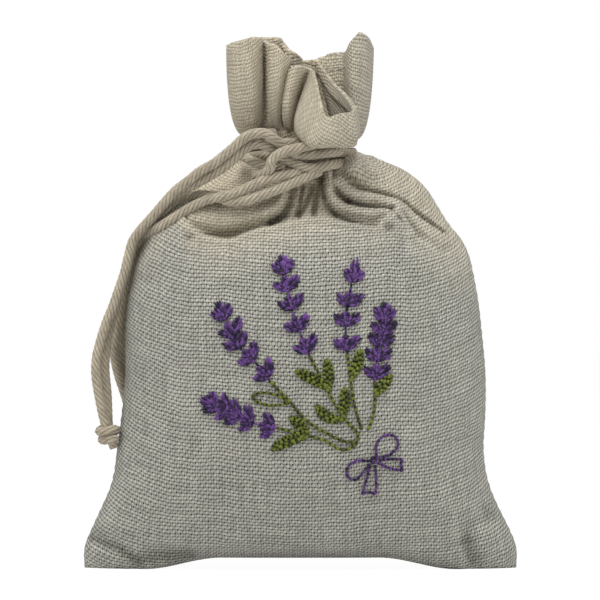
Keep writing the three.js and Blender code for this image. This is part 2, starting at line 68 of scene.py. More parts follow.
# Bag: height, left and right half width, and how far the cloth puffs up at the left and right edge there
BAG_SIDES = np.array([
    [0, 50, 50, 0, 0], [5, 49.9, 49.9, 0, 0], [9.2, 48.2, 48.2, 0, 0], [14, 46, 45.8, 0, 0], [20, 43.5, 43.4, 0, 0],
    [27, 42.5, 42.4, 0, 0], [36, 41.3, 42.8, 0, 0], [45, 40.5, 42.8, 0, 0], [54, 40.5, 42, 0, 0],
    [62, 39.9, 41.1, 0, 0], [68, 38.6, 40, 0, 0], [72.5, 37.4, 38.9, 0, 0], [76, 35.9, 37.2, 0, 0],
    [79, 34.3, 34.7, 0, 0], [82, 32, 32.7, 0, 0], [85, 29.2, 30.9, 0, 0], [87.5, 25.8, 29, 0.1, 0.3],
    [89.2, 21.8, 26.5, 0.9, 1], [90.3, 18.6, 23, 2.3, 2.2], [91, 15.6, 18.6, 3.4, 3.2], [91.4, 13, 14.9, 3.6, 4],
    [91.6, 10.5, 10.5, 2.8, 3],
])
# Bag: height, and half depth of the front and of the back there. The front's runs on behind its ridge.
BAG_DEPTHS = np.array([
    [0, 9.5, 9.5], [5, 12.6, 12.6], [9.2, 15.3, 15.3], [14, 17.8, 17.8], [20, 20, 20.4], [27, 21.4, 22.1],
    [36, 22.2, 23], [45, 22.5, 23.4], [54, 22.2, 23], [62, 21.6, 21.9], [68, 20.9, 20.8], [73, 20, 19.3],
    [76, 19.4, 17.8], [79, 18.8, 15.5], [82, 18.2, 12.8], [85, 17.4, 10.8], [88, 16.4, 9.2], [91.6, 15, 8],
])
SECTION_POWER = 1.15
# Bottom seam's arch: places across where it begins to end and ends, and the height that it fades over
ARCH_FROM, ARCH_TO, ARCH_HIGH = 18, 36, 7
NECK_PLEATS = 7
PLEAT_DEPTH = 0.5
# Puff of the right shoulder beside the winding: place across, half width, and how far it stands out and up
PUFF_X, PUFF_HALF, PUFF_OUT, PUFF_UP = 12.8, 3.2, 4.5, 3
# Each panel stops this far short of the seam plane
SEAM_GAP = 0.04
FRONT_COLUMNS, BACK_COLUMNS = 251, 181
# Cloth in the ruffle, as a multiple of its drawn-in width
RUFFLE_GATHER = 1.35

# Front ridge, where the shoulder's folds run into the belly: places of the front view
FRONT_RIDGE = np.array([
    [-42, 71], [-36.5, 76], [-32, 80.5], [-29.5, 83], [-28.2, 84], [-27.3, 82], [-26.6, 79.2], [-25.1, 77.2],
    [-22.1, 76.4], [-19.3, 75.8], [-17, 75.4], [-15.2, 75.8], [-12.8, 77], [-9.4, 78.1], [-6.6, 78.8], [-2.4, 79.6],
    [2.2, 80.7], [5.7, 80.7], [8, 80.2], [10.3, 79.5], [14.9, 78.7], [17.2, 78.4], [19.1, 79.1], [20.7, 80.7],
    [22.3, 82.1], [23.3, 81.6], [24.2, 80], [25.3, 78.1], [27.2, 75.8], [29.5, 74.2], [31.6, 73], [33.9, 71.6],
    [38, 70], [42, 69],
])
# How far the cloth steps back behind the ridge, over the place across
RIDGE_STEP = np.array([
    [-34, 0], [-29, 0.5], [-27, 3], [-24, 5], [-19, 6], [-15, 6], [-10, 5], [-6, 4], [-2, 3], [3, 3], [8, 4],
    [13, 5], [18, 5], [20.5, 4], [22.3, 2.5], [24, 4.5], [28, 4.5], [31, 3], [34, 1], [37, 0],
])
# Ridge: height of its step, its bead, the valley behind it, and how far and how slowly the belly turns in below it
RIDGE_LIP, RIDGE_BEAD, RIDGE_VALLEY, RIDGE_TURN, RIDGE_BEND = 0.8, 1, 1, 2.6, 3.4
# Height where the back's shoulder begins, the depth that the front's folds are seen at, and how the shoulder slopes
BACK_RIDGE = 76
FOLD_DEPTH = 15
SLOPE_POWER = 1.2
# Height over which the linen is painted lighter and warmer, as painted top light, below the front's ridge and the
# back's, and above both
FRONT_FADE, BACK_FADE, TOP_LIGHT_RISE = 12, 45, 10

# Rolled folds of the shoulder in the front view: path, half width at both ends, height at both ends
ROLLS = [
    ([[8.2, 89.2], [10.5, 87.4], [13.1, 86.2], [16.1, 85.6], [19.6, 84.8], [23, 83.6], [25.8, 80.9], [28.8, 77.9],
      [32.3, 75.3], [34.6, 73.7]], (1.4, 2.1), (3.2, 1.6)),
    ([[6.4, 91], [6.8, 88.4], [7.6, 86], [9.1, 83.9], [11.4, 82.5], [14.2, 81.7], [17.2, 81.4], [20.3, 81.8],
      [22.3, 82]], (1.1, 2.7), (3.4, 3)),
    ([[-3.4, 87.4], [-4.8, 84.4], [-8, 82.4], [-12, 81.5], [-17, 81.2], [-21, 81.2], [-25, 81.2], [-28, 81.2]],
     (1.6, 4.6), (3.4, 3)),
]
# Creases pressed into the cloth in the front view: path, half width, depth
CREASES = [
    ([[5.2, 90.8], [4, 87.4], [3.4, 83.9], [3.1, 81.6]], 0.6, 3.4),
    ([[2.9, 88.6], [1.3, 84.4], [-0.4, 81.2]], 0.6, 3),
    ([[0.6, 88.6], [-0.1, 84.6], [-0.8, 81.8]], 0.5, 2.6),
    ([[-2.2, 88.4], [-3, 84.4], [-4.2, 81.6], [-7, 79.6]], 0.9, 3.6),
    ([[5.3, 90.2], [5.5, 86.4], [6.3, 83.8], [8.2, 81.6]], 0.5, 2.4),
    ([[8.4, 87.4], [9.4, 85.8], [11, 85]], 0.9, 2.8),
    ([[11, 84.9], [14, 84.2], [18, 83.8], [21.6, 83.3]], 0.5, 1.4),
    ([[9.6, 90.4], [11.9, 88.8], [14.9, 87.6], [19.6, 86.4], [23.2, 85.2], [26.5, 82.6], [30, 80.2], [33.5, 77.7]],
     0.6, 2.2),
    ([[-48.6, 5.6], [-45, 5], [-42, 4], [-38, 1]], 1.5, 3.8),
    ([[-35, 2.4], [-31, 2.6], [-25.5, 1.6]], 2, 4),
    ([[46.8, 9.6], [43, 10.7], [38.4, 6.6], [40.4, 1]], 1.5, 3.4),
    ([[43.9, 18.5], [42.6, 13.5], [43, 10.7]], 2, 2.2),
]

# Ruffle from the left seam to the right one: share across, hem (across, out, up), the turn below it (out, up), and how
# far that turn is swayed across
FRONT_HEM = np.array([
    [-1, -17.2, 0.2, 120.8, 0, 95, -2], [-0.93, -16.4, 5, 121.2, 5.5, 95.5, -1.6],
    [-0.84, -13.8, 9, 121.9, 9.5, 98, -0.8], [-0.74, -10.8, 9.6, 122.5, 10.5, 102, 0],
    [-0.67, -8.9, 6.5, 122.4, 8, 109, 0], [-0.62, -8.6, 2.6, 121.8, 3.5, 109, 0], [-0.56, -7.9, 6, 121.2, 9, 108, 0],
    [-0.48, -6, 9.8, 120.7, 12, 108, -0.6], [-0.38, -3.4, 10.2, 118.8, 12, 107, -1.6],
    [-0.31, -2, 7, 117.3, 8, 107, -2.2], [-0.27, -2.6, 4, 116.3, 4.5, 106, -2.4],
    [-0.22, -2.9, 8, 115.2, 10, 105, -2.8], [-0.16, -1.6, 11.2, 115.8, 13, 105, -1.4],
    [-0.1, 0.4, 9.6, 115.8, 7.5, 105, -1.8], [-0.04, 2, 6.6, 115.2, 2.6, 104, -3.2],
    [0.01, 2.6, 8.4, 114.6, 10, 101, -6], [0.06, 3.4, 11, 112.4, 16, 97, -7], [0.12, 4.2, 14.4, 108.6, 19.5, 94, -6],
    [0.19, 5.2, 18, 104.9, 22, 91.8, -3.4], [0.32, 9.4, 19, 105, 22.5, 91.5, 0.6],
    [0.43, 12.7, 17.2, 105.7, 21, 92, 5], [0.49, 12.9, 14.2, 106.8, 17.5, 96, 5],
    [0.55, 10.4, 10, 109.9, 12.5, 100, 2], [0.6, 8, 6.5, 112, 9.5, 104, 0],
    [0.65, 5.8, 3.5, 115.2, 7, 107, 0], [0.7, 4.6, 1, 117.8, 4.5, 109, 0],
    [0.75, 6.6, 0.4, 118.4, 4, 109, 0], [0.8, 9.6, 1.6, 118.7, 5, 108, 0], [0.85, 10.6, 4.5, 119.8, 9, 103, 0.4],
    [0.89, 11.6, 7, 121.8, 11, 99, 0.8], [0.93, 13.9, 7.6, 123.7, 10, 95, 1.2], [0.97, 16, 4.5, 122.4, 6, 93, 1.4],
    [1, 17, 0.2, 120.2, 0, 93, 1.4],
])
BACK_HEM = np.array([
    [-1, -17.2, 0.2, 120.8, 0, 95, -2], [-0.84, -14.4, 7.5, 121, 8.5, 98, -0.8],
    [-0.66, -10.4, 10.4, 122.2, 11, 109, 0], [-0.5, -7.2, 8, 122.4, 9, 109, 0], [-0.34, -4, 9.8, 121.8, 11, 109, 0],
    [-0.24, -2.2, 7.8, 119.6, 9, 109, 0], [-0.08, 0, 10.4, 117.3, 11, 108, 0], [0.1, 3, 8.6, 117.2, 9, 108, 0],
    [0.28, 6, 10.8, 118.3, 11, 108, 0], [0.46, 9, 8.8, 118.9, 9, 108, 0], [0.64, 12, 9.4, 119.3, 10, 107, 0.4],
    [0.84, 15.2, 6.4, 119.8, 7, 97, 1], [1, 17, 0.2, 120.2, 0, 93, 1.4],
])
RUFFLE_ROWS = 42
# Turned hem: its height, how much thicker it is, and how far its rounded rim stands out
HEM_TURN, HEM_FOLD, HEM_RIM = 3.4, 0.5, 0.35
# Cloth's inner face stops this far short of the seam plane
INNER_GAP = 0.02

# Plies of the cord, and a ply's radius and place off the middle as shares of the cord's diameter
PLIES, PLY_RADIUS, PLY_OFF = 6, 0.2, 0.3
CORD_STEP = 0.3
# Cord routes from the tie over the left shoulder to the pivot, and from there down to the end knots
ROUTES = {
    "a1": [[-0.6, -12.4, 95], [-2.3, -12.7, 95.5], [-3.7, -13.4, 96.5], [-5.1, -14.4, 97.9], [-6.8, -15.4, 99.1],
           [-8.7, -16, 99.8], [-10.6, -16, 99.6], [-12.9, -15.6, 98.6], [-14.9, -14.8, 96.8], [-17.2, -13.8, 94.9],
           [-19.5, -12.8, 93.1], [-23, -11, 91.2], [-25.4, -9.8, 89.3], [-28.4, -8.4, 87.1], [-31, -7.4, 84.4],
           [-33.8, -6.2, 81.2], [-36.6, -4.8, 78.2], [-38.6, -4, 75.4], [-39.6, -4, 71.9], [-40.4, -4, 68.5],
           [-41.6, -4.1, 64.9], [-43, -4.3, 60.8], [-44.6, -4.5, 56.8], [-46, -4.7, 52.4], [-46.9, -4.8, 48.4],
           [-47, -4.9, 44.6], [-46.4, -5, 40.5], [-45.5, -5, 36], [-44.9, -4.6, 33.4], [-44.6, -3.8, 31.4]],
    "a2": [[0, -12.6, 92.4], [-2.6, -12.5, 93.4], [-4.2, -12.7, 94.4], [-5.5, -13, 95.5], [-7.1, -13.6, 96.5],
           [-9, -14.2, 97.3], [-11, -14.2, 97.1], [-13, -13.8, 96], [-14.9, -13.2, 94.3], [-16.8, -12.4, 92.6],
           [-19.5, -11, 90.9], [-23, -9, 89], [-26, -7.2, 87.4], [-29.2, -5.2, 85.2],
           [-32.4, -3.6, 82.2], [-35.6, -2.3, 79], [-38.2, -1.6, 76], [-39.4, -1.4, 72.4], [-40.4, -1.4, 68.4],
           [-41.7, -1.5, 64.4], [-43, -1.7, 59.4], [-44.6, -1.9, 52.6], [-45.2, -2.1, 46.4], [-44.7, -2.2, 40.5],
           [-44.5, -2.3, 36], [-44.4, -2.6, 33.4], [-44.2, -3, 31.4]],
    "b1": [[1.4, -11.2, 91.8], [-0.9, -12.6, 90.9], [-5.1, -14.2, 90], [-8.4, -14.6, 89.1], [-11.6, -14.2, 87.6],
           [-14.9, -13.2, 86.2], [-18.3, -12, 85.4], [-21.8, -10, 84.6], [-25.3, -8.6, 83], [-28.8, -8, 80.8],
           [-31.8, -6.4, 79], [-34.4, -3.4, 77.6], [-36.3, -0.4, 76.4], [-37.6, 1.2, 74.4], [-38.9, 1.5, 71.4],
           [-40.4, 2.2, 66], [-41.8, 3.2, 60], [-42.9, 4.6, 54], [-43.4, 6.4, 49.4], [-42.6, 8.4, 44.6],
           [-41.2, 10, 40], [-39.6, 11.8, 34], [-38.6, 13, 29.6]],
    "b2": [[4.4, -11.4, 91.3], [2, -12.6, 90.2], [-1.9, -13.8, 88.4], [-6.8, -14.6, 86.4], [-11.6, -14, 84.9],
           [-15.4, -12.2, 84.3], [-19.6, -9, 85.6], [-23.6, -6, 86], [-27.6, -3, 84.6], [-31.2, -0.6, 82.6],
           [-34.4, 1.6, 80], [-36.6, 3.4, 77.4], [-37.6, 3.9, 74.6], [-38.7, 4, 71.4], [-39.8, 4.8, 66],
           [-40.8, 5.9, 60], [-41.4, 7.2, 54], [-41.6, 8.8, 49.4], [-40.8, 10.6, 44.6], [-39.4, 12.2, 40],
           [-37.8, 14.1, 34], [-37, 15.3, 29.6]],
}
# Knot at a pair's end: how many turns it winds round the pair, and how far out from its axis it winds, in millimetres
KNOT_TURNS, KNOT_HALF = 1.6, 1.75
# Winding: its turns, its rise in each turn, its start above the neck's base and its gap to the cloth
WINDING_TURNS, WINDING_PITCH, WINDING_START, WINDING_GAP = 3, 2.4, 1.4, 0.4
TIE_X = -4.4

# Hitch of the tie: the bight that turns at the left and runs out below, the strand behind it, and the two passes
# that run on to the right
HITCH_ROUTES = [
    [[3.4, -12.8, 97.4], [0.6, -14.2, 96.7], [-2.1, -15.1, 96.1], [-4.2, -15.5, 95.4], [-5.8, -15.7, 94.3],
     [-6.7, -15.7, 93.1], [-6.8, -15.4, 91.9], [-7.7, -14.6, 91], [-9, -13.2, 90.4], [-10.4, -11.8, 90.2]],
    [[-13.4, -6.4, 95], [-12.2, -9, 94.2], [-10.4, -11, 93.3], [-8.2, -12, 92.6], [-6, -12.4, 92.2],
     [-3.6, -12.4, 92]],
    [[-1.4, -12.5, 92.9], [0, -12.7, 92.3], [3, -12.5, 91.9], [6, -11.6, 92.5], [8.4, -9, 93.1], [10.2, -5.4, 93.4]],
    [[-1.6, -12.5, 95.2], [0, -12.3, 94.9], [3, -12.1, 95], [6, -10.9, 95.4], [8.4, -8.6, 95.7], [10.2, -5.4, 95.9]],
]

# Embroidery in the front view: places across and up
SPRIGS = [
    {"florets": [[-18.2, 59.1], [-16.3, 55.4], [-15.2, 52.4], [-12.2, 49.2], [-8.7, 45.5]],
     "stem": [[-7, 43.1], [-2.4, 38.3], [0.9, 34.4], [5.9, 31.2], [10.5, 29.1], [12.9, 28.9]]},
    {"florets": [[-4.1, 69.8], [-3.4, 65.9], [-2.4, 61.5], [-1, 56.6], [1, 51.7]],
     "stem": [[2.1, 49], [4.6, 44.2], [6.6, 40.3], [8.7, 36.6], [11.2, 33.2], [13.4, 30.8], [13, 29]]},
    {"florets": [[12.2, 68], [11.2, 62.4], [10.5, 57.8], [10.5, 52.3]],
     "stem": [[10.8, 49.5], [11.6, 43.2], [12.2, 38.8], [13.1, 35.2], [14.2, 31.8]]},
    {"florets": [[19.4, 58.9], [19.1, 55.9], [18.4, 53.1], [17.8, 49.7], [17.5, 45.7]],
     "stem": [[17.1, 43.1], [17.2, 39.5], [16.7, 34.8], [15.5, 31.7]]},
    {"florets": [[-20.8, 38], [-18.2, 36.8], [-16, 35.6], [-12.8, 34.2], [-8.1, 32.6]],
     "stem": [[-5.4, 32.3], [2, 30.4], [5.9, 29.3], [9.2, 27.3], [11.4, 27.4], [12.9, 28.8]]},
]
LEAVES = [
    [[-11.3, 39.6], [-7.1, 38.9], [-2.6, 38.1]], [[-1.2, 45.5], [2.6, 43.7], [6.2, 41.2]],
    [[6.1, 48.3], [6.5, 44.4], [6.7, 40.8]], [[3.6, 37.6], [5.9, 35], [10, 34]],
    [[10.1, 41.7], [10.3, 37.9], [9.9, 34.4]], [[13.9, 50.4], [13, 46.7], [11.7, 43.2]],
    [[21, 44.7], [19.2, 42.3], [17.3, 39.6]], [[-2.4, 34.9], [0, 32.9], [2, 31]],
    [[-6.8, 27.2], [-2.8, 29.3], [2, 30.4]],
]
# Rim of a floret, a tip bud and a tip spike: angle from the sprig's own direction, and reach from the foot. One sprig
# ends in a spike.
SPIKED = 2
FLORET = [[-78, 1.9], [-62, 3.2], [-48, 3.9], [-30, 2.7], [-12, 3.4], [4, 3.6], [18, 2.9], [34, 4.3], [46, 4.7],
          [60, 3.6], [74, 2]]
BUD = [[-72, 1.8], [-52, 3.2], [-38, 3.9], [-22, 3.5], [-4, 4.7], [8, 4.6], [24, 3.7], [40, 4], [54, 3.2], [72, 1.8]]
SPIKE = [[-66, 1.8], [-48, 3.1], [-34, 3.5], [-20, 3.1], [-6, 5.2], [4, 5.6], [12, 4.2], [28, 3.6], [42, 3.8],
         [56, 3], [70, 1.8]]
BOW_LINES = [
    [[17.6, 25.4], [17.5, 28.4], [18.8, 30.2], [20.6, 30.8], [22.2, 30], [22.6, 28.2], [21.4, 26.6], [18, 25.2]],
    [[16, 24.6], [13.5, 24.8], [11.5, 24], [10.6, 22.2], [11.3, 20.6], [12.7, 20.3], [14.2, 21.6], [16, 24]],
    [[18, 24.8], [20.8, 25.1], [23.8, 25]], [[23.8, 25], [23, 23.8], [23.8, 22.4]],
    [[23.8, 22.4], [20.6, 23], [17.8, 24.3]],
    [[16.2, 23.8], [15.3, 20.4], [14.2, 16.9]], [[14.2, 16.9], [15.6, 17.6], [17.4, 16.9]],
    [[17.4, 16.9], [17.5, 20.4], [17.2, 23.8]],
    [[17.7, 24.8], [16.9, 25.6], [16, 24.8], [16.8, 24], [17.7, 24.8]],
]
# Widths as multiples of a stitch's, and lengths of stitches
FLORET_WIDTH, STEM_WIDTH, LEAF_WIDTH, BOW_WIDTH = 1.25, 1.8, 1.7, 1.7
STEM_STITCH, BOW_STITCH, SPINE_STITCH = 1.4, 0.95, 1.1
# Leaf: rows as shares of the half width, the length of each row's stitches, and the half width
LEAF_ROWS, OPEN_LEAF_ROWS = (-1, -0.36, 0.36, 1), (-1, 1)
LEAF_STITCHES = 1.05, 1.5, 1.2, 0.95
LEAF_HALF, OPEN_LEAF_HALF = 1.05, 1.45
# Gap between the stitches of a stem or leaf, as a share of a stitch. Sewing: length, gap and width of a stitch
TIGHT_GAP = 0.04
SEWING_STITCH, SEWING_GAP, SEWING_WIDTH = 2.2, 0.3, 0.32
FLOWER_SEED, GREEN_SEED, BOW_SEED, SEWING_SEED = 11, 31, 61, 71

# Stage: half the floor's side, and the floor's share of white light to the camera and its strength
FLOOR_HALF = 3000
FLOOR_WHITE, FLOOR_GLOW = 0.9, 1.075
AIM_X = -0.0001


class SachetSizes(bpy.types.PropertyGroup):
    """Sizes of the sachet and of its stage."""

    neck_base: FloatProperty(name="Neck base", description="Height where the gathered neck begins",
                             default=0.0916, unit="LENGTH")
    neck_length: FloatProperty(name="Neck length", description="Height of the gathered neck",
                               default=0.0092, unit="LENGTH")
    neck_width: FloatProperty(name="Neck width", description="Neck from side to side, inside its winding",
                              default=0.021, unit="LENGTH")
    neck_depth: FloatProperty(name="Neck depth", description="Neck from front to back, inside its winding",
                              default=0.016, unit="LENGTH")
    cloth: FloatProperty(name="Cloth", description="Thickness of the linen", default=0.0008, unit="LENGTH")
    arch: FloatProperty(name="Bottom arch", description="How far the middle of the bottom seam is drawn up",
                        default=0.0028, unit="LENGTH")
    warp: FloatProperty(name="Warp spacing", description="Yarn to yarn across the cloth",
                        default=0.00064, unit="LENGTH")
    weft: FloatProperty(name="Weft spacing", description="Yarn to yarn along the cloth",
                        default=0.00084, unit="LENGTH")
    cord: FloatProperty(name="Cord", description="Diameter of the cotton cord", default=0.0023, unit="LENGTH")
    lay: FloatProperty(name="Cord lay", description="Length of one full turn of the cord's plies",
                       default=0.0086, unit="LENGTH")
    stitch: FloatProperty(name="Stitch", description="Width of an embroidery stitch",
                          default=0.00046, unit="LENGTH")
    lens: FloatProperty(name="Lens", description="Focal length of the camera in millimetres", default=200)
    distance: FloatProperty(name="Distance", description="Camera to the middle of the bag",
                            default=0.7717, unit="LENGTH")
    eye: FloatProperty(name="Eye height", description="Height of the camera and of its aim",
                       default=0.0619, unit="LENGTH")


class SachetColours(bpy.types.PropertyGroup):
    """Colours of the sachet's finishes and of its stage."""

    linen: FloatVectorProperty(name="Linen", description="Tops of the linen yarns", subtype="COLOR",
                               default=(0.54, 0.538, 0.485))
    # Painted top light: the linen of the shoulder, the ruffle and the back's top, painted lighter and warmer as if lit
    # from above
    linen_top_light: FloatVectorProperty(name="Warm linen", description="Linen of the shoulder and the ruffle",
                                    subtype="COLOR", default=(0.68, 0.62, 0.49))
    # Painted shade in the gaps between the linen yarns
    linen_gap_shade: FloatVectorProperty(name="Linen gaps", description="Gaps between the linen yarns", subtype="COLOR",
                                   default=(0.035, 0.03, 0.022))
    # Painted gap shade, painted lighter and warmer under the painted top light
    linen_top_light_gap_shade: FloatVectorProperty(name="Warm linen gaps", description="Gaps between the ruffle's yarns",
                                        subtype="COLOR", default=(0.19, 0.135, 0.07))
    cord: FloatVectorProperty(name="Cord", description="Tops of the cord's plies", subtype="COLOR",
                              default=(0.68, 0.6, 0.47))
    # Painted shade in the grooves between the plies
    cord_groove_shade: FloatVectorProperty(name="Cord grooves", description="Grooves between the plies", subtype="COLOR",
                                     default=(0.15, 0.115, 0.065))
    purple: FloatVectorProperty(name="Purple thread", description="Light side of the flower thread", subtype="COLOR",
                                default=(0.15, 0.062, 0.27))
    # Deep purple: each stitch's own dark tone, and the painted shade at the ends of the bow's stitches
    purple_deep: FloatVectorProperty(name="Deep purple", description="Dark side of the flower thread",
                                     subtype="COLOR", default=(0.008, 0.003, 0.022))
    green: FloatVectorProperty(name="Green thread", description="Light side of the leaf thread", subtype="COLOR",
                               default=(0.165, 0.2, 0.03))
    # Deep green: each stitch's own dark tone, and the painted shade at the ends of the stitches
    green_deep: FloatVectorProperty(name="Deep green", description="Dark side of the leaf thread", subtype="COLOR",
                                    default=(0.016, 0.022, 0.004))
    lavender: FloatVectorProperty(name="Dried lavender", description="Filling of the bag", subtype="COLOR",
                                  default=(0.16, 0.12, 0.24))
    straw: FloatVectorProperty(name="Straw", description="Dry husks among the buds", subtype="COLOR",
                               default=(0.32, 0.27, 0.16))
    floor: FloatVectorProperty(name="Floor", description="Pale floor below the sachet", subtype="COLOR",
                               default=(0.9, 0.9, 0.9))


def smoothstep(low, high, value):
    """Rise from 0 at low to 1 at high by the cubic 3t^2 - 2t^3."""
    t = np.clip((value - low) / (high - low), 0, 1)
    return t * t * (3 - 2 * t)


def through(knots, values, at):
    """Cubic through values at knots: the slope at a knot is the parabola's through it and its two neighbours."""
    knots, values, at = (np.asarray(part, float) for part in (knots, values, at))
    step = np.diff(knots)
    wide = step.reshape(-1, *[1] * (values.ndim - 1))
    slope = np.diff(values, axis=0) / wide
    inner = (wide[1:] * slope[:-1] + wide[:-1] * slope[1:]) / (wide[1:] + wide[:-1])
    slopes = np.concatenate([slope[:1], inner, slope[-1:]])
    cell = np.clip(np.searchsorted(knots, at, side="right") - 1, 0, len(step) - 1)
    t = np.clip((at - knots[cell]) / step[cell], 0, 1)
    long = step[cell]
    if values.ndim > 1:
        t, long = t[..., None], long[..., None]
    return (values[cell] * (1 + 2 * t) * (1 - t) ** 2 + values[cell + 1] * t * t * (3 - 2 * t)
            + slopes[cell] * long * t * (1 - t) ** 2 - slopes[cell + 1] * long * t * t * (1 - t))


def run_of(points):
    """Length along a row of points, from 0 at the first."""
    return np.concatenate([[0], np.cumsum(np.linalg.norm(np.diff(points, axis=0), axis=1))])


def lengths(grid, axis):
    """Length along a grid of points in one direction, from 0 at its first row or column."""
    steps = np.linalg.norm(np.diff(grid, axis=axis), axis=2)
    return np.insert(np.cumsum(steps, axis=axis), 0, 0, axis=axis)


def to_hem(outer):
    """Length left from each place of a panel up to its hem."""
    up = lengths(outer, 0)
    return up[-1] - up


def curve(points, spacing):
    """Smooth curve through points, at even steps of its own length of about the given spacing."""
    points = np.asarray(points, float)
    chord = run_of(points)
    fine = through(chord, points, np.linspace(0, chord[-1], 40 * len(points)))
    run = run_of(fine)
    even = np.linspace(0, run[-1], max(int(round(run[-1] / spacing)), 2) + 1)
    return np.stack([np.interp(even, run, column) for column in fine.T], 1)


def beside(path, x, z):
    """Distance from places of the front view to a path, and the share of the path's length at its nearest point."""
    path = curve(path, 1.2)
    run = run_of(path)
    best, share = np.full(np.shape(x), np.inf), np.zeros(np.shape(x))
    for start, end, done, upto in zip(path[:-1], path[1:], run[:-1], run[1:]):
        step = (end - start) / (upto - done)
        along = np.clip((x - start[0]) * step[0] + (z - start[1]) * step[1], 0, upto - done)
        away = np.hypot(x - start[0] - along * step[0], z - start[1] - along * step[1])
        share = np.where(away < best, (done + along) / run[-1], share)
        best = np.minimum(away, best)
    return best, share


def evened(values, half):
    """Each row as the mean of the rows up to half before and after it, with the end rows carried on."""
    padded = np.concatenate([values[:1]] * half + [values] + [values[-1:]] * half)
    total = np.concatenate([np.zeros_like(values[:1]), np.cumsum(padded, axis=0)])
    return (total[2 * half + 1:] - total[:-2 * half - 1]) / (2 * half + 1)


def unit(vectors):
    """Vectors at length 1."""
    return vectors / np.maximum(np.linalg.norm(vectors, axis=-1, keepdims=True), 1e-9)


def outward(outer, side):
    """Unit normals of a panel's outer face."""
    return side * unit(np.cross(np.gradient(outer, axis=0), np.gradient(outer, axis=1)))


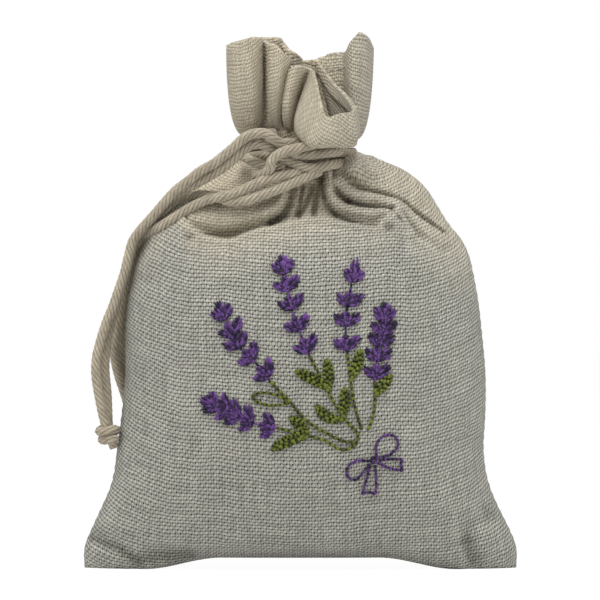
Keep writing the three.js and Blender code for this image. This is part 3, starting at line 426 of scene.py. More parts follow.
class Bag:
    """The stuffed bag's two panels as surfaces over the share across, from -1 to 1, and the way up the cloth."""

    def __init__(self, sizes):
        self.base = sizes.neck_base / MM
        self.top = (sizes.neck_base + sizes.neck_length) / MM
        self.neck = np.array([sizes.neck_width, sizes.neck_depth]) / MM / 2
        self.cloth = sizes.cloth / MM
        self.arch = sizes.arch / MM
        self.eye = sizes.distance / MM, sizes.eye / MM

    def sides(self, z):
        """Left and right half width at a height, then the puff at both edges, through the table of sides."""
        return through(BAG_SIDES[:, 0], BAG_SIDES[:, 1:], np.clip(z, 0, self.base))

    def across(self, share, z):
        """Place across: the half width times the sine of the share, with more of the shares near the middle."""
        reach = np.sin(share * (0.84 + 0.16 * share * share) * np.pi / 2)
        sides = self.sides(z)
        return reach * np.where(reach < 0, sides[..., 0], sides[..., 1])

    def reach(self, x, z):
        """Share of the half width at a place across, from -1 to 1."""
        sides = self.sides(z)
        return np.clip(x / np.where(x < 0, sides[..., 0], sides[..., 1]), -1, 1)

    def roundness(self, x, z):
        """Share of the full depth left at a place across: (1 - reach^2) to half the section's power."""
        return (1 - self.reach(x, z) ** 2) ** (SECTION_POWER / 2)

    def lift(self, x, z):
        """How far the bottom seam's arch draws the cloth up."""
        return self.arch * (1 - smoothstep(ARCH_FROM, ARCH_TO, np.abs(x))) * (1 - smoothstep(0, ARCH_HIGH, z))

    @staticmethod
    def foot(z):
        """Share of the depth near the bottom seam: a quarter ellipse from 0.8 to 1 over the lowest 4 mm."""
        return 0.8 + 0.2 * np.sqrt(1 - (1 - np.clip(z / 4, 0, 1)) ** 2)

    def front_out(self, x, z, folded=True):
        """Depth of the front: the belly up to the ridge, then a step back and a slope to the neck, with folds."""
        seen_x, seen_z = self.in_line(x, z, FOLD_DEPTH)
        ridge = np.interp(seen_x, *FRONT_RIDGE.T) + z - seen_z
        below = np.minimum(z, ridge)
        belly = through(BAG_DEPTHS[:, 0], BAG_DEPTHS[:, 1], below) - RIDGE_TURN * np.exp((below - ridge) / RIDGE_BEND)
        climb = np.clip((z - ridge) / (self.base - ridge), 0, 1)
        drop = np.interp(seen_x, *RIDGE_STEP.T)
        step = drop * smoothstep(0, RIDGE_LIP, z - ridge) * folded
        full = self.neck[1] + (belly - step - self.neck[1]) * (1 - climb) ** SLOPE_POWER
        share = self.roundness(x, z)
        plain = full * share * self.foot(z)
        if not folded:
            return plain
        wave = np.sin(x / 9 + 0.7) * np.sin(z / 13 + 0.4) + 0.6 * np.sin(x / 5.3 + z / 7.9)
        relief = 0.3 * wave * share * smoothstep(4, 16, z) + 0.5 * self.pucker(z, share)
        rim = RIDGE_BEAD * np.exp(-(z - ridge) ** 2) - RIDGE_VALLEY * np.exp(-(z - ridge - 1.9) ** 2)
        relief = relief * (1 - climb) + rim * np.clip(drop / 4, 0, 1) * share
        return plain + relief + self.folds(seen_x, seen_z) * share ** 0.3

    def in_line(self, x, z, farther):
        """The place in line with another as the camera sees it, farther from the camera by a depth."""
        scale = 1 + farther / self.eye[0]
        return x * scale, self.eye[1] + (z - self.eye[1]) * scale

    @staticmethod
    def pucker(z, share):
        """Small waves beside a side seam: a sine up the seam, under a bell that is nothing at the seam itself."""
        return np.sin(z * 0.83 + 0.6 * np.sin(z / 5)) * 22 * share * np.exp(-8 * share) * smoothstep(3, 9, z)

    def folds(self, x, z):
        """Rolls as half ellipses about their paths, the highest of them at each place, less the creases' bells."""
        rolled = np.zeros(np.shape(x))
        for path, wide, high in ROLLS:
            away, share = beside(path, x, z)
            half = wide[0] + (wide[1] - wide[0]) * share
            height = (high[0] + (high[1] - high[0]) * share) * smoothstep(0, 0.08, 1.0001 - share)
            rolled = np.maximum(rolled, height * np.sqrt(np.clip(1 - (away / half) ** 2, 0, 1)))
        for path, half, depth in CREASES:
            away, _ = beside(path, x, z)
            rolled = rolled - depth * np.exp(-(away / half) ** 2)
        return rolled

    def back_out(self, x, z, folded=True):
        """Depth of the back: its belly, with gathers that fan out from the neck and fade into it."""
        full = through(BAG_DEPTHS[:, 0], BAG_DEPTHS[:, 2], np.clip(z, 0, self.base))
        share, reach = self.roundness(x, z), self.reach(x, z)
        fan = np.cos(11 * np.arcsin(reach) + 0.8 * np.sin(3 * reach)) * smoothstep(66, 86, z)
        wave = np.sin(x / 10 + 2.1) * np.sin(z / 14 + 1.3) + 0.5 * np.sin(x / 6.1 - z / 8.3)
        relief = 0.35 * wave * share * smoothstep(4, 16, z) * (1 - smoothstep(80, 90, z))
        relief = relief + 0.5 * self.pucker(z, share) + 0.9 * fan * share
        return full * share * self.foot(z) + relief * folded

    def panel(self, side, columns, folded=True, neck_rows=8):
        """Outer face of one panel: underside, body, neck and ruffle, in rows from the bottom seam to the hem.

        The body is depth over place across and height. The ruffle is a quadratic curve at each share across: from
        the neck's top, towards a turn, to the hem.
        """
        share = np.linspace(-1, 1, columns)
        depth = self.front_out if side < 0 else self.back_out
        heights = np.concatenate([np.linspace(0, 8, 11), np.linspace(8, 66, 38)[1:], np.linspace(66, 72, 9)[1:],
                                  np.linspace(72, 85, 46)[1:],
                                  self.base - (self.base - 85) * (1 - np.linspace(0, 1, 36)[1:]) ** 1.8])
        grid_share, grid_z = np.meshgrid(share, heights)
        x = self.across(grid_share, grid_z)
        out = depth(x, grid_z, folded)
        pleat = PLEAT_DEPTH * (np.cos(share * NECK_PLEATS * np.pi) - 1) * np.cos(share * np.pi / 2)
        out = out + pleat * smoothstep(self.base - 7, self.base, grid_z)
        out[1:-1, 1:-1] = (4 * out[1:-1, 1:-1] + out[:-2, 1:-1] + out[2:, 1:-1] + out[1:-1, :-2] + out[1:-1, 2:]) / 8
        reach, sides = self.reach(x, grid_z), self.sides(grid_z)
        z = grid_z + self.lift(x, grid_z) + reach * reach * np.where(x < 0, sides[..., 2], sides[..., 3])
        if folded and side < 0:
            below = self.base - grid_z
            puff = (1 - smoothstep(1.2, 4, below)) * smoothstep(0, 0.4, below)
            puff = puff * np.exp(-((x - PUFF_X) / PUFF_HALF) ** 2) * (1 - reach ** 6)
            out, z = out + PUFF_OUT * puff, z + PUFF_UP * puff
        body = np.stack([x, out, z], -1)
        under = body[:1] * np.array([1, 0, 1]) + np.linspace(0, 1, 7)[:-1, None, None] * body[:1] * np.array([0, 1, 0])
        neck_end = np.stack([self.across(share, np.full(columns, self.base)), body[-1, :, 1],
                             np.full(columns, self.top)], -1)
        rise = np.linspace(0, 1, neck_rows + 1)[1:, None, None]
        neck = body[-1] * (1 - rise) + neck_end * rise
        hem_table = FRONT_HEM if side < 0 else BACK_HEM
        hem = through(hem_table[:, 0], hem_table[:, 1:], share)
        turn = np.stack([0.3 * neck_end[:, 0] + 0.7 * hem[:, 0] + hem[:, 5], hem[:, 3], hem[:, 4]], -1)
        for line in (hem, turn):
            line[:, 0], line[:, 2] = self.in_line(line[:, 0], line[:, 2], side * line[:, 1])
        t = np.linspace(0, 1, RUFFLE_ROWS + 1)[1:, None, None]
        ruffle = neck_end * (1 - t) ** 2 + 2 * turn * t * (1 - t) + hem[:, :3] * t * t
        rows = np.concatenate([under, body, neck, ruffle])
        rows[..., 1] = side * (SEAM_GAP + np.maximum(rows[..., 1], 0))
        return rows


def grid_quads(rows, columns, wrap=False):
    """Corners of a grid's quads as row and column numbers, going along the columns first."""
    r, c = np.meshgrid(np.arange(rows - 1), np.arange(columns if wrap else columns - 1), indexing="ij")
    return (np.stack([r, r, r + 1, r + 1], -1).reshape(-1, 4), np.stack([c, c + 1, c + 1, c], -1).reshape(-1, 4))


def tube(rows, sides):
    """Row and column of the corners of a tube's quads, the quads, and the two end caps."""
    corner_r, corner_c = grid_quads(rows, sides, wrap=True)
    caps = np.stack([np.arange(sides)[::-1], (rows - 1) * sides + np.arange(sides)])
    return corner_r, corner_c, corner_r * sides + corner_c % sides, caps


def make_piece(name, points, faces, material, uv=None, uv_name=CLOTH_UV, shade=None):
    """A mesh object at the origin from points in millimetres, groups of faces, and a place on the map per corner."""
    mesh = bpy.data.meshes.new(name)
    sizes = np.concatenate([np.full(len(group), group.shape[1]) for group in faces])
    corners = np.concatenate([group.ravel() for group in faces]).astype(np.int32)
    mesh.vertices.add(len(points))
    mesh.vertices.foreach_set("co", (np.asarray(points) * MM).astype(np.float32).ravel())
    mesh.loops.add(len(corners))
    mesh.loops.foreach_set("vertex_index", corners)
    mesh.polygons.add(len(sizes))
    mesh.polygons.foreach_set("loop_start", np.concatenate([[0], np.cumsum(sizes)[:-1]]).astype(np.int32))
    mesh.update(calc_edges=True)
    mesh.polygons.foreach_set("use_smooth", np.ones(len(sizes), bool))
    if uv is not None:
        layer = mesh.uv_layers.new(name=uv_name)
        layer.uv.foreach_set("vector", np.asarray(uv, np.float32).ravel())
    if shade is not None:
        mesh.attributes.new(SHADE, "FLOAT", "POINT").data.foreach_set("value", np.asarray(shade, np.float32))
    if mesh.validate():
        raise RuntimeError(f"{name} had faces that aren't sound")
    piece = bpy.data.objects.new(name, mesh)
    bpy.context.scene.collection.objects.link(piece)
    mesh.materials.append(material)
    return piece


def put_in(piece, node, body="bag"):
    """Lets a piece ride on a body in place of a node, and hides the node."""
    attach(piece, body)
    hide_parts(node)


def cloth_piece(name, outer, plain, side, cloth, material, top_light):
    """A closed sheet: the outer face, an inner face set in along the normals, and a rounded rim along the hem.

    The inset is the cloth's thickness, and more within one turn of the hem. The map follows lengths on the plain
    cloth, which is the same grid without its folds.
    """
    rows, columns = outer.shape[:2]
    thick = cloth + HEM_FOLD * (1 - smoothstep(HEM_TURN - 0.25, HEM_TURN + 0.25, to_hem(outer)))
    inner = outer - outward(outer, side) * thick[..., None]
    edge = np.minimum(np.arange(columns), np.arange(columns)[::-1]) < 3
    inner[:, edge, 1] = side * np.maximum(side * inner[:, edge, 1], INNER_GAP)
    rim = (outer[-1] + inner[-1]) / 2 + HEM_RIM * unit(outer[-1] - outer[-3])
    along = lengths(plain, 1)
    along = along - along[:, columns // 2, None]
    along[-RUFFLE_ROWS:] = RUFFLE_GATHER * along[-RUFFLE_ROWS // 3]
    uv = np.stack([along, evened(lengths(plain, 0).T, 7).T], -1).reshape(-1, 2)
    uv = np.concatenate([uv, uv, uv[-columns:]])
    number = np.arange(rows * columns).reshape(rows, columns)
    inside, rim_row = number + rows * columns, 2 * rows * columns + np.arange(columns)
    corner_r, corner_c = grid_quads(rows, columns)
    strips = [(number[-1], rim_row), (rim_row, inside[-1]), (inside[0], number[0]), (number[:, 0], inside[:, 0]),
              (number[::-1, -1], inside[::-1, -1])]
    faces = [number[corner_r, corner_c], inside[corner_r, corner_c][:, ::-1]]
    faces += [np.stack([a[:-1], a[1:], b[1:], b[:-1]], 1) for a, b in strips]
    faces.append(np.array([[number[-1, 0], rim_row[0], inside[-1, 0]],
                           [rim_row[-1], number[-1, -1], inside[-1, -1]]]))
    faces = [group if side < 0 else group[:, ::-1] for group in faces]
    uvs = np.concatenate([uv[group].reshape(-1, 2) for group in faces])
    # Painted top light per point, the same for the inner face, and the hem row's for the rim
    top_light_points = np.concatenate([top_light.ravel(), top_light.ravel(), top_light[-1]])
    return make_piece(name, np.concatenate([outer.reshape(-1, 3), inner.reshape(-1, 3), rim]), faces, material, uvs,
                      shade=top_light_points)


def rope_mesh(path, diameter, lay, reference, sides=30):
    """A cord of plied yarns carried along a path.

    Round the path, the outline is that of round plies pressed together: c cos f + root(p^2 - c^2 sin^2 f), with
    f the angle from the nearest ply's middle. The outline turns backwards once in each lay's length.
    """
    tangent = unit(np.gradient(path, axis=0))
    aside = unit(np.cross(np.asarray(reference, float), tangent))
    above = np.cross(tangent, aside)
    run = run_of(path)
    column = np.arange(sides)
    ply, offset = PLY_RADIUS * diameter, PLY_OFF * diameter
    nearest = (column / sides * PLIES + 0.5) % 1 - 0.5
    angle = nearest * 2 * np.pi / PLIES
    radius = offset * np.cos(angle) + np.sqrt(ply ** 2 - (offset * np.sin(angle)) ** 2)
    turn = 2 * np.pi * (column / sides - run[:, None] / lay)
    points = (path[:, None] + radius[:, None] * (np.cos(turn)[..., None] * aside[:, None]
                                                 + np.sin(turn)[..., None] * above[:, None]))
    corner_r, corner_c, faces, caps = tube(len(path), sides)
    uv = np.stack([corner_c * PLIES / sides, run[corner_r]], -1).reshape(-1, 2)
    cap_uv = np.stack([caps.ravel() % sides * PLIES / sides, np.repeat([0, run[-1]], sides)], -1)
    return points.reshape(-1, 3), faces, uv, caps, cap_uv


def rope_piece(name, paths, diameter, lay, reference, material):
    """One piece of cord laid along one or more paths."""
    points, quads, uvs, caps, cap_uvs = zip(*[rope_mesh(path, diameter, lay, reference) for path in paths])
    first = np.cumsum([0] + [len(group) for group in points])
    faces = [np.concatenate([group + start for group, start in zip(groups, first)]) for groups in (quads, caps)]
    return make_piece(name, np.concatenate(points), faces, material, np.concatenate(uvs + cap_uvs), THREAD_UV)


def joined(rows):
    """The starts of all rows of stitches, and their ends."""
    return [np.concatenate([row[side] for row in rows]) for side in (0, 1)]


def back_stitches(path, length, gap=0.12):
    """Stitches end to end along a smooth path, with a gap that is a share of each stitch."""
    points = curve(path, length)
    step = points[1:] - points[:-1]
    return points[:-1] + gap / 2 * step, points[1:] - gap / 2 * step


def stitch_piece(name, starts, ends, width, material, surface, seed, arch=0.3, lift=0.1, rings=6, sides=6,
                 least_shade=0.0, shaded_ends=0.0):
    """Stitches of thread from starts to ends, each bent over the cloth.

    A stitch's middle line is straight from start to end, laid on the surface and raised by an arch of a sine. Its ring
    is an ellipse, drawn in at both ends by a power of a sine. Its shade may fall off towards both ends, as painted
    shade in the needle holes.
    """
    t = np.linspace(0, 1, rings)
    middle = starts[:, None] * (1 - t)[:, None] + ends[:, None] * t[:, None]
    place, out = surface(middle)
    tangent = unit(place[:, -1:] - place[:, :1])
    aside = unit(np.cross(out, tangent))
    bow = np.sin(np.pi * t)
    place = place + out * (lift + arch * bow)[:, None]
    draw = (0.45 + 0.55 * bow ** 0.6)[:, None, None]
    angle = 2 * np.pi * np.arange(sides) / sides
    ring = (np.cos(angle)[:, None] * aside[:, :, None] + 0.75 * np.sin(angle)[:, None] * out[:, :, None])
    points = place[:, :, None] + width / 2 * draw * ring
    count = len(starts)
    corner_r, corner_c, quads, caps = tube(rings, sides)
    first = np.arange(count)[:, None, None] * rings * sides
    faces, caps = (first + quads).reshape(-1, 4), (first + caps).reshape(-1, sides)
    long = np.linalg.norm(ends - starts, axis=1)
    uv = np.stack(np.broadcast_arrays(corner_c / sides, long[:, None, None] * t[corner_r]), -1).reshape(-1, 2)
    cap_uv = np.zeros((caps.size, 2))
    random = np.random.default_rng(seed)
    shade = least_shade + (1 - least_shade) * random.random(count)
    # Painted shade: each stitch darkens towards both ends, as shade in the needle holes
    shade = np.repeat(np.outer(shade, 1 - shaded_ends * (1 - bow) ** 2), sides)
    return make_piece(name, points.reshape(-1, 3), [faces, caps], material, np.concatenate([uv, cap_uv]), THREAD_UV,
                      shade)


def on_front(bag):
    """A surface for stitches: places of the front view onto the front's outer face, with its normal.

    A place is seen from the camera against the bag's middle, so it moves towards the eye by the cloth's depth there.
    """
    def surface(places):
        x, z = places[..., 0], places[..., 1]
        x, z = bag.in_line(x, z, -bag.front_out(x, z))
        step = 0.4
        slope_x = (bag.front_out(x + step, z) - bag.front_out(x - step, z)) / (2 * step)
        slope_z = (bag.front_out(x, z + step) - bag.front_out(x, z - step)) / (2 * step)
        normal = unit(np.stack([-slope_x, -np.ones_like(x), -slope_z], -1))
        return np.stack([x, -SEAM_GAP - bag.front_out(x, z), z], -1), normal
    return surface


def as_given(places):
    """A surface for stitches whose places carry their own normal: three parts of place, then three of normal."""
    return places[..., :3], unit(places[..., 3:])


class Wire:
    """A socket that takes part in Python sums. Each operator adds a Math node."""

    def __init__(self, graph, socket):
        self.graph, self.socket = graph, socket

    def math(self, operation, *others):
        return self.graph.add("ShaderNodeMath", {"operation": operation}, dict(enumerate([self, *others])))

    def flipped(self, operation, first):
        return self.graph.add("ShaderNodeMath", {"operation": operation}, {0: first, 1: self})

    def __add__(self, other): return self.math("ADD", other)
    def __radd__(self, other): return self.math("ADD", other)
    def __sub__(self, other): return self.math("SUBTRACT", other)
    def __rsub__(self, other): return self.flipped("SUBTRACT", other)
    def __mul__(self, other): return self.math("MULTIPLY", other)
    def __rmul__(self, other): return self.math("MULTIPLY", other)
    def __truediv__(self, other): return self.math("DIVIDE", other)
    def __rtruediv__(self, other): return self.flipped("DIVIDE", other)
    def __pow__(self, other): return self.math("POWER", other)


class Graph:
    """The node tree of a new material or world."""

    def __init__(self, owner):
        owner.use_nodes = True
        self.owner, self.tree = owner, owner.node_tree

    def add(self, kind, settings=None, sockets=None, output=0):
        """A new node of a kind: its settings first, then values or links for its sockets."""
        node = self.tree.nodes.new(kind)
        for key, value in (settings or {}).items():
            setattr(node, key, value)
        for key, value in (sockets or {}).items():
            self.put(node.inputs[key], value)
        return Wire(self, node.outputs[output])

    def put(self, socket, value):
        """Links a wire to a socket, or sets a plain value on it."""
        if isinstance(value, Wire):
            self.tree.links.new(value.socket, socket)
        else:
            socket.default_value = value

    def mix(self, factor, first, second):
        """A colour between two, by a factor."""
        ends = {6: first, 7: second}
        solid = {key: value if isinstance(value, Wire) else (*value, 1) for key, value in ends.items()}
        return self.add("ShaderNodeMix", {"data_type": "RGBA"}, {0: factor, **solid}, 2)

    def map_parts(self, name):
        """The two parts of a piece's own map."""
        whole = self.add("ShaderNodeUVMap", {"uv_map": name})
        return [self.add("ShaderNodeSeparateXYZ", {}, {0: whole}, part) for part in (0, 1)]

    def noise(self, vector, scale, detail=2.0):
        return self.add("ShaderNodeTexNoise", {}, {"Vector": vector, "Scale": scale, "Detail": detail})

    def noise_at(self, x, y, detail=2.0, scale=1.0):
        return self.noise(self.add("ShaderNodeCombineXYZ", {}, {0: x, 1: y}), scale, detail)

    def fade(self, value, low, high):
        """Smooth rise of a value from 0 at low to 1 at high."""
        return self.add("ShaderNodeMapRange", {"interpolation_type": "SMOOTHSTEP"}, {0: value, 1: low, 2: high})

    def bump(self, height, distance, strength=1.0):
        return self.add("ShaderNodeBump", {}, {"Height": height, "Distance": distance, "Strength": strength})

    def finish(self, **sockets):
        """Links what changes over the surface to the shader, and sets what doesn't on its own sockets."""
        shader = self.tree.nodes["Principled BSDF"]
        for key, value in sockets.items():
            self.put(shader.inputs[key.replace("_", " ")], value)
        return self.owner

    def white_to_camera(self, shaded, share, kind, strength=1.0):
        """Mixes a shader with white light for rays that end in the picture: camera, glossy and transmission rays."""
        rays = [self.add("ShaderNodeLightPath", {}, {}, name)
                for name in ("Is Camera Ray", "Is Glossy Ray", "Is Transmission Ray")]
        seen = rays[0].math("MAXIMUM", rays[1]).math("MAXIMUM", rays[2])
        white = self.add(kind, {}, {0: (1, 1, 1, 1), 1: strength})
        return self.add("ShaderNodeMixShader", {}, {0: seen * share, 1: shaded, 2: white})


def new_graph(name):
    """The node tree of a new material."""
    return Graph(bpy.data.materials.new(name))


def times(factor, colour):
    """A colour made lighter or darker by a factor."""
    return [factor * part for part in colour]


def linen(sizes, colours):
    """Plain weave: sines across warp and weft give each yarn its round and its place over or under the other.

    Gaps at the yarns' corners and the low parts of the yarns are darkened as painted shade, yarns differ in shade
    along their length, and both yarns wander a little. Where the point attribute gives painted top light, the linen is
    painted lighter and warmer and its gaps lighter.
    """
    g = new_graph("linen_weave")
    across, along = g.map_parts(CLOTH_UV)
    wander = g.noise_at(across, along, 1.0, 0.16)
    sway = g.noise_at(across + 31.0, along - 17.0, 1.0, 0.2)
    a = (across + (wander - 0.5) * 0.9) * (math.pi * MM / sizes.warp)
    b = (along + (sway - 0.5) * 1.1) * (math.pi * MM / sizes.weft)
    warp, weft = a.math("SINE"), b.math("SINE")
    over = weft * warp.math("SIGN")
    under = warp * weft.math("SIGN")
    warp_height = warp.math("ABSOLUTE") ** 0.8 * (0.3 + 0.3 * over)
    weft_height = weft.math("ABSOLUTE") ** 0.55 * (0.56 - 0.44 * under)
    height = warp_height.math("MAXIMUM", weft_height)
    slack = g.noise_at(across * 1.5, along * 1.3, 1.0)
    # Painted shade: holes at every other yarn corner and the low parts of the yarns are darkened towards the gap
    # colour
    second = g.fade(a.math("COSINE") * b.math("COSINE"), 0.0, 0.3)
    hole = (1 - warp.math("ABSOLUTE")) * (1 - weft.math("ABSOLUTE")) * second
    seat = 1 - g.fade(height + (slack - 0.5) * 0.5, 0.14, 0.7)
    gap = (seat * 0.72).math("MAXIMUM", g.fade(hole + (slack - 0.5) * 0.8, 0.1, 0.36))
    streak = g.noise_at(across * 1.5, along * 0.09) + g.noise_at(across * 0.09, along * 1.2)
    fibre = g.noise_at(across * 5.0, along * 5.0)
    tone = g.fade(streak * 0.7 + fibre * 0.5, 0.7, 1.2)
    # Painted top light: lighter, warmer linen and weaker, lighter gap shade up from the ridge
    top_light = g.add("ShaderNodeAttribute", {"attribute_name": SHADE}, {}, 2)
    lit = g.mix(top_light, times(1.12, colours.linen), times(1.12, colours.linen_top_light))
    dim = g.mix(top_light, times(0.74, colours.linen), times(0.8, colours.linen_top_light))
    between = g.mix(top_light, colours.linen_gap_shade, colours.linen_top_light_gap_shade)
    # Painted gap shade over the yarn colour, a quarter weaker under painted top light
    colour = g.mix(gap * (1 - 0.25 * top_light), g.mix(tone, dim, lit), between)
    normal = g.bump(height + fibre * 0.25 + tone * 0.2, 0.0003)
    return g.finish(Base_Color=colour, Normal=normal, Roughness=0.92, Sheen_Weight=0.1, Sheen_Roughness=0.5,
                    Specular_IOR_Level=0.2)


def cotton_cord(sizes, colours):
    """Plies, with painted shade darkening the grooves between them, and fibres that follow them."""
    g = new_graph("laid_cotton")
    round_it, along = g.map_parts(THREAD_UV)
    crown = 0.5 - (round_it.math("FRACT") - 0.5).math("ABSOLUTE")
    groove = g.fade(crown, 0.3, 0.46)
    straight = round_it - along * (PLIES * MM / sizes.lay)
    fibres = g.noise_at(straight * 5.0, along * 0.7, 3.0)
    hairs = g.noise_at(round_it * 13.0, along * 2.2)
    cloudy = g.noise_at(round_it * 0.4, along * 0.25)
    tone = g.fade(fibres * 0.7 + hairs * 0.3 + cloudy * 0.4, 0.5, 0.9)
    top = g.mix(tone, times(0.55, colours.cord), colours.cord)
    # Painted shade: the grooves between the plies are mixed towards the groove colour
    colour = g.mix(groove * 0.66, top, colours.cord_groove_shade)
    normal = g.bump(fibres + hairs * 0.6, 0.0003)
    return g.finish(Base_Color=colour, Normal=normal, Roughness=0.9, Sheen_Weight=0.2, Specular_IOR_Level=0.15)


def thread(name, light, deep, roughness=0.5):
    """Embroidery thread: each stitch has a shade of its own, with fine fibres along it; a fall-off at its ends is
    painted shade.
    """
    g = new_graph(name)
    round_it, along = g.map_parts(THREAD_UV)
    shade = g.add("ShaderNodeAttribute", {"attribute_name": SHADE}, {}, 2)
    fibres = g.noise_at(round_it * 9.0, along * 0.6)
    ends = g.noise_at(along * 1.1, shade * 40.0, 1.0)
    colour = g.mix(g.fade(shade * 0.8 + fibres * 0.5 + ends * 0.3, 0.72, 1.2), deep, light)
    normal = g.bump(fibres, 0.00008, 0.8)
    return g.finish(Base_Color=colour, Normal=normal, Roughness=roughness, Specular_IOR_Level=0.25)


def dried_lavender(colours):
    """Dried buds: small cells of purple and straw."""
    g = new_graph("lavender_buds")
    place = g.add("ShaderNodeTexCoord", {}, {}, 3)
    cells = g.add("ShaderNodeTexVoronoi", {}, {"Vector": place, "Scale": 420.0}, 0)
    mottle = g.noise(place, 260.0, 3.0)
    colour = g.mix(g.fade(mottle, 0.4, 0.7), colours.lavender, colours.straw)
    normal = g.bump(cells, 0.0012)
    return g.finish(Base_Color=colour, Normal=normal, Roughness=0.95)


def given(context):
    """The sizes and colours of the scene."""
    return context.scene.sachet_sizes, context.scene.sachet_colours


def aimed(obj, place, target):
    """Puts a lamp or a camera at a place, turned to a target."""
    obj.location = place
    toward = np.asarray(target, float) - np.asarray(place, float)
    obj.rotation_euler = (math.atan2(math.hypot(toward[0], toward[1]), -toward[2]), 0,
                          math.atan2(toward[1], toward[0]) - math.pi / 2)
    bpy.context.scene.collection.objects.link(obj)
    return obj


class SACHET_OT_stage(bpy.types.Operator):
    """Camera, floor, world and soft studio light."""

    bl_idname = "sachet.stage"
    bl_label = "Stage"

    def execute(self, context):
        scene, (sizes, colours) = context.scene, given(context)
        lens = bpy.data.cameras.new("camera")
        lens.lens = sizes.lens
        lens.clip_start, lens.clip_end = 0.01, 20
        scene.camera = aimed(bpy.data.objects.new("camera", lens), (AIM_X, -sizes.distance, sizes.eye),
                             (AIM_X, 0, sizes.eye))
        scene.view_settings.view_transform = "Standard"

        floor = new_graph("pale_floor")
        grain = floor.noise(floor.add("ShaderNodeTexCoord", {}, {}, 3), 12.0)
        floor.finish(Base_Color=floor.mix(grain * 0.1, colours.floor, (0.95, 0.95, 0.95)), Roughness=0.9)
        shaded = Wire(floor, floor.tree.nodes["Principled BSDF"].outputs[0])
        floor.put(floor.tree.nodes["Material Output"].inputs[0],
                  floor.white_to_camera(shaded, FLOOR_WHITE, "ShaderNodeEmission", FLOOR_GLOW))
        corners = FLOOR_HALF * np.array([[-1, -1, 0], [1, -1, 0], [1, 1, 0], [-1, 1, 0]], float)
        make_piece("floor", corners, [np.array([[0, 1, 2, 3]])], floor.owner)

        scene.world = bpy.data.worlds.new("studio")
        studio = Graph(scene.world)
        room = studio.add("ShaderNodeBackground", {}, {0: (1, 0.99, 0.97, 1), 1: 0.22})
        studio.put(studio.tree.nodes["World Output"].inputs[0],
                   studio.white_to_camera(room, 1.0, "ShaderNodeBackground"))

        # Lamps: name, place, target, width, power and tint
        lamps = [("top_softbox", (-0.06, -0.3, 0.76), (0, 0, 0.08), 0.5, 5.6, (1, 0.985, 0.95)),
                 ("left_panel", (-0.75, -0.2, 0.22), (0, 0, 0.06), 0.5, 1.2, (0.99, 0.99, 1)),
                 ("right_panel", (0.75, -0.2, 0.22), (0, 0, 0.06), 0.5, 1.8, (0.99, 0.99, 1)),
                 ("front_fill", (0.1, -0.9, 0.3), (0, 0, 0.06), 0.6, 0.2, (0.97, 0.985, 1))]
        for name, place, target, width, power, tint in lamps:
            lamp = bpy.data.lights.new(name, "AREA")
            lamp.size, lamp.energy, lamp.color = width, power, tint
            aimed(bpy.data.objects.new(name, lamp), place, target)
        return {"FINISHED"}


class SACHET_OT_cords(bpy.types.Operator):
    """Four free strands of cord in two pairs, each pair ended by a knot."""

    bl_idname = "sachet.cords"
    bl_label = "Hanging cords"

    def execute(self, context):
        sizes, colours = given(context)
        diameter, lay = sizes.cord / MM, sizes.lay / MM
        material = cotton_cord(sizes, colours)
        for pair in "ab":
            ends = [np.array(ROUTES[pair + strand][-1]) for strand in "12"]
            knot = rope_piece(f"knotted_end_{pair}", [self.knot_path((ends[0] + ends[1]) / 2)], diameter, lay,
                              (0.3, 0.5, 0.8), material)
            put_in(knot, f"end_knot_{pair}", f"cord_pair_{pair}")
            for strand in "12":
                name = pair + strand
                path = curve(ROUTES[name], CORD_STEP)
                cord = rope_piece(f"cord_{name}", [path], diameter, lay, (0, 1, 0), material)
                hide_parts(f"shoulder_strand_{name}", f"hanging_strand_{name}")
                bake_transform(cord)
        return {"FINISHED"}

    @staticmethod
    def knot_path(top):
        """A turn and a half wound round the pair's end, down a leaning axis, then a short tail on that axis."""
        share = np.linspace(0, 1, 40)[:, None]
        angle = 2 * np.pi * KNOT_TURNS * share + 2.4
        spread = KNOT_HALF * smoothstep(0, 0.12, share) * (1 - smoothstep(0.88, 1, share))
        axis = np.array([1.3, 0.3, -3.2])
        start = top + np.array([-0.4, 0, 1.2])
        wound = start + share * axis + spread * np.concatenate([np.cos(angle), np.sin(angle), 0.35 * np.cos(angle)], 1)
        tail = wound[-1] + np.array([[0.6], [1.1], [1.7]]) * axis / 3.4
        return curve(np.concatenate([wound, tail]), CORD_STEP)


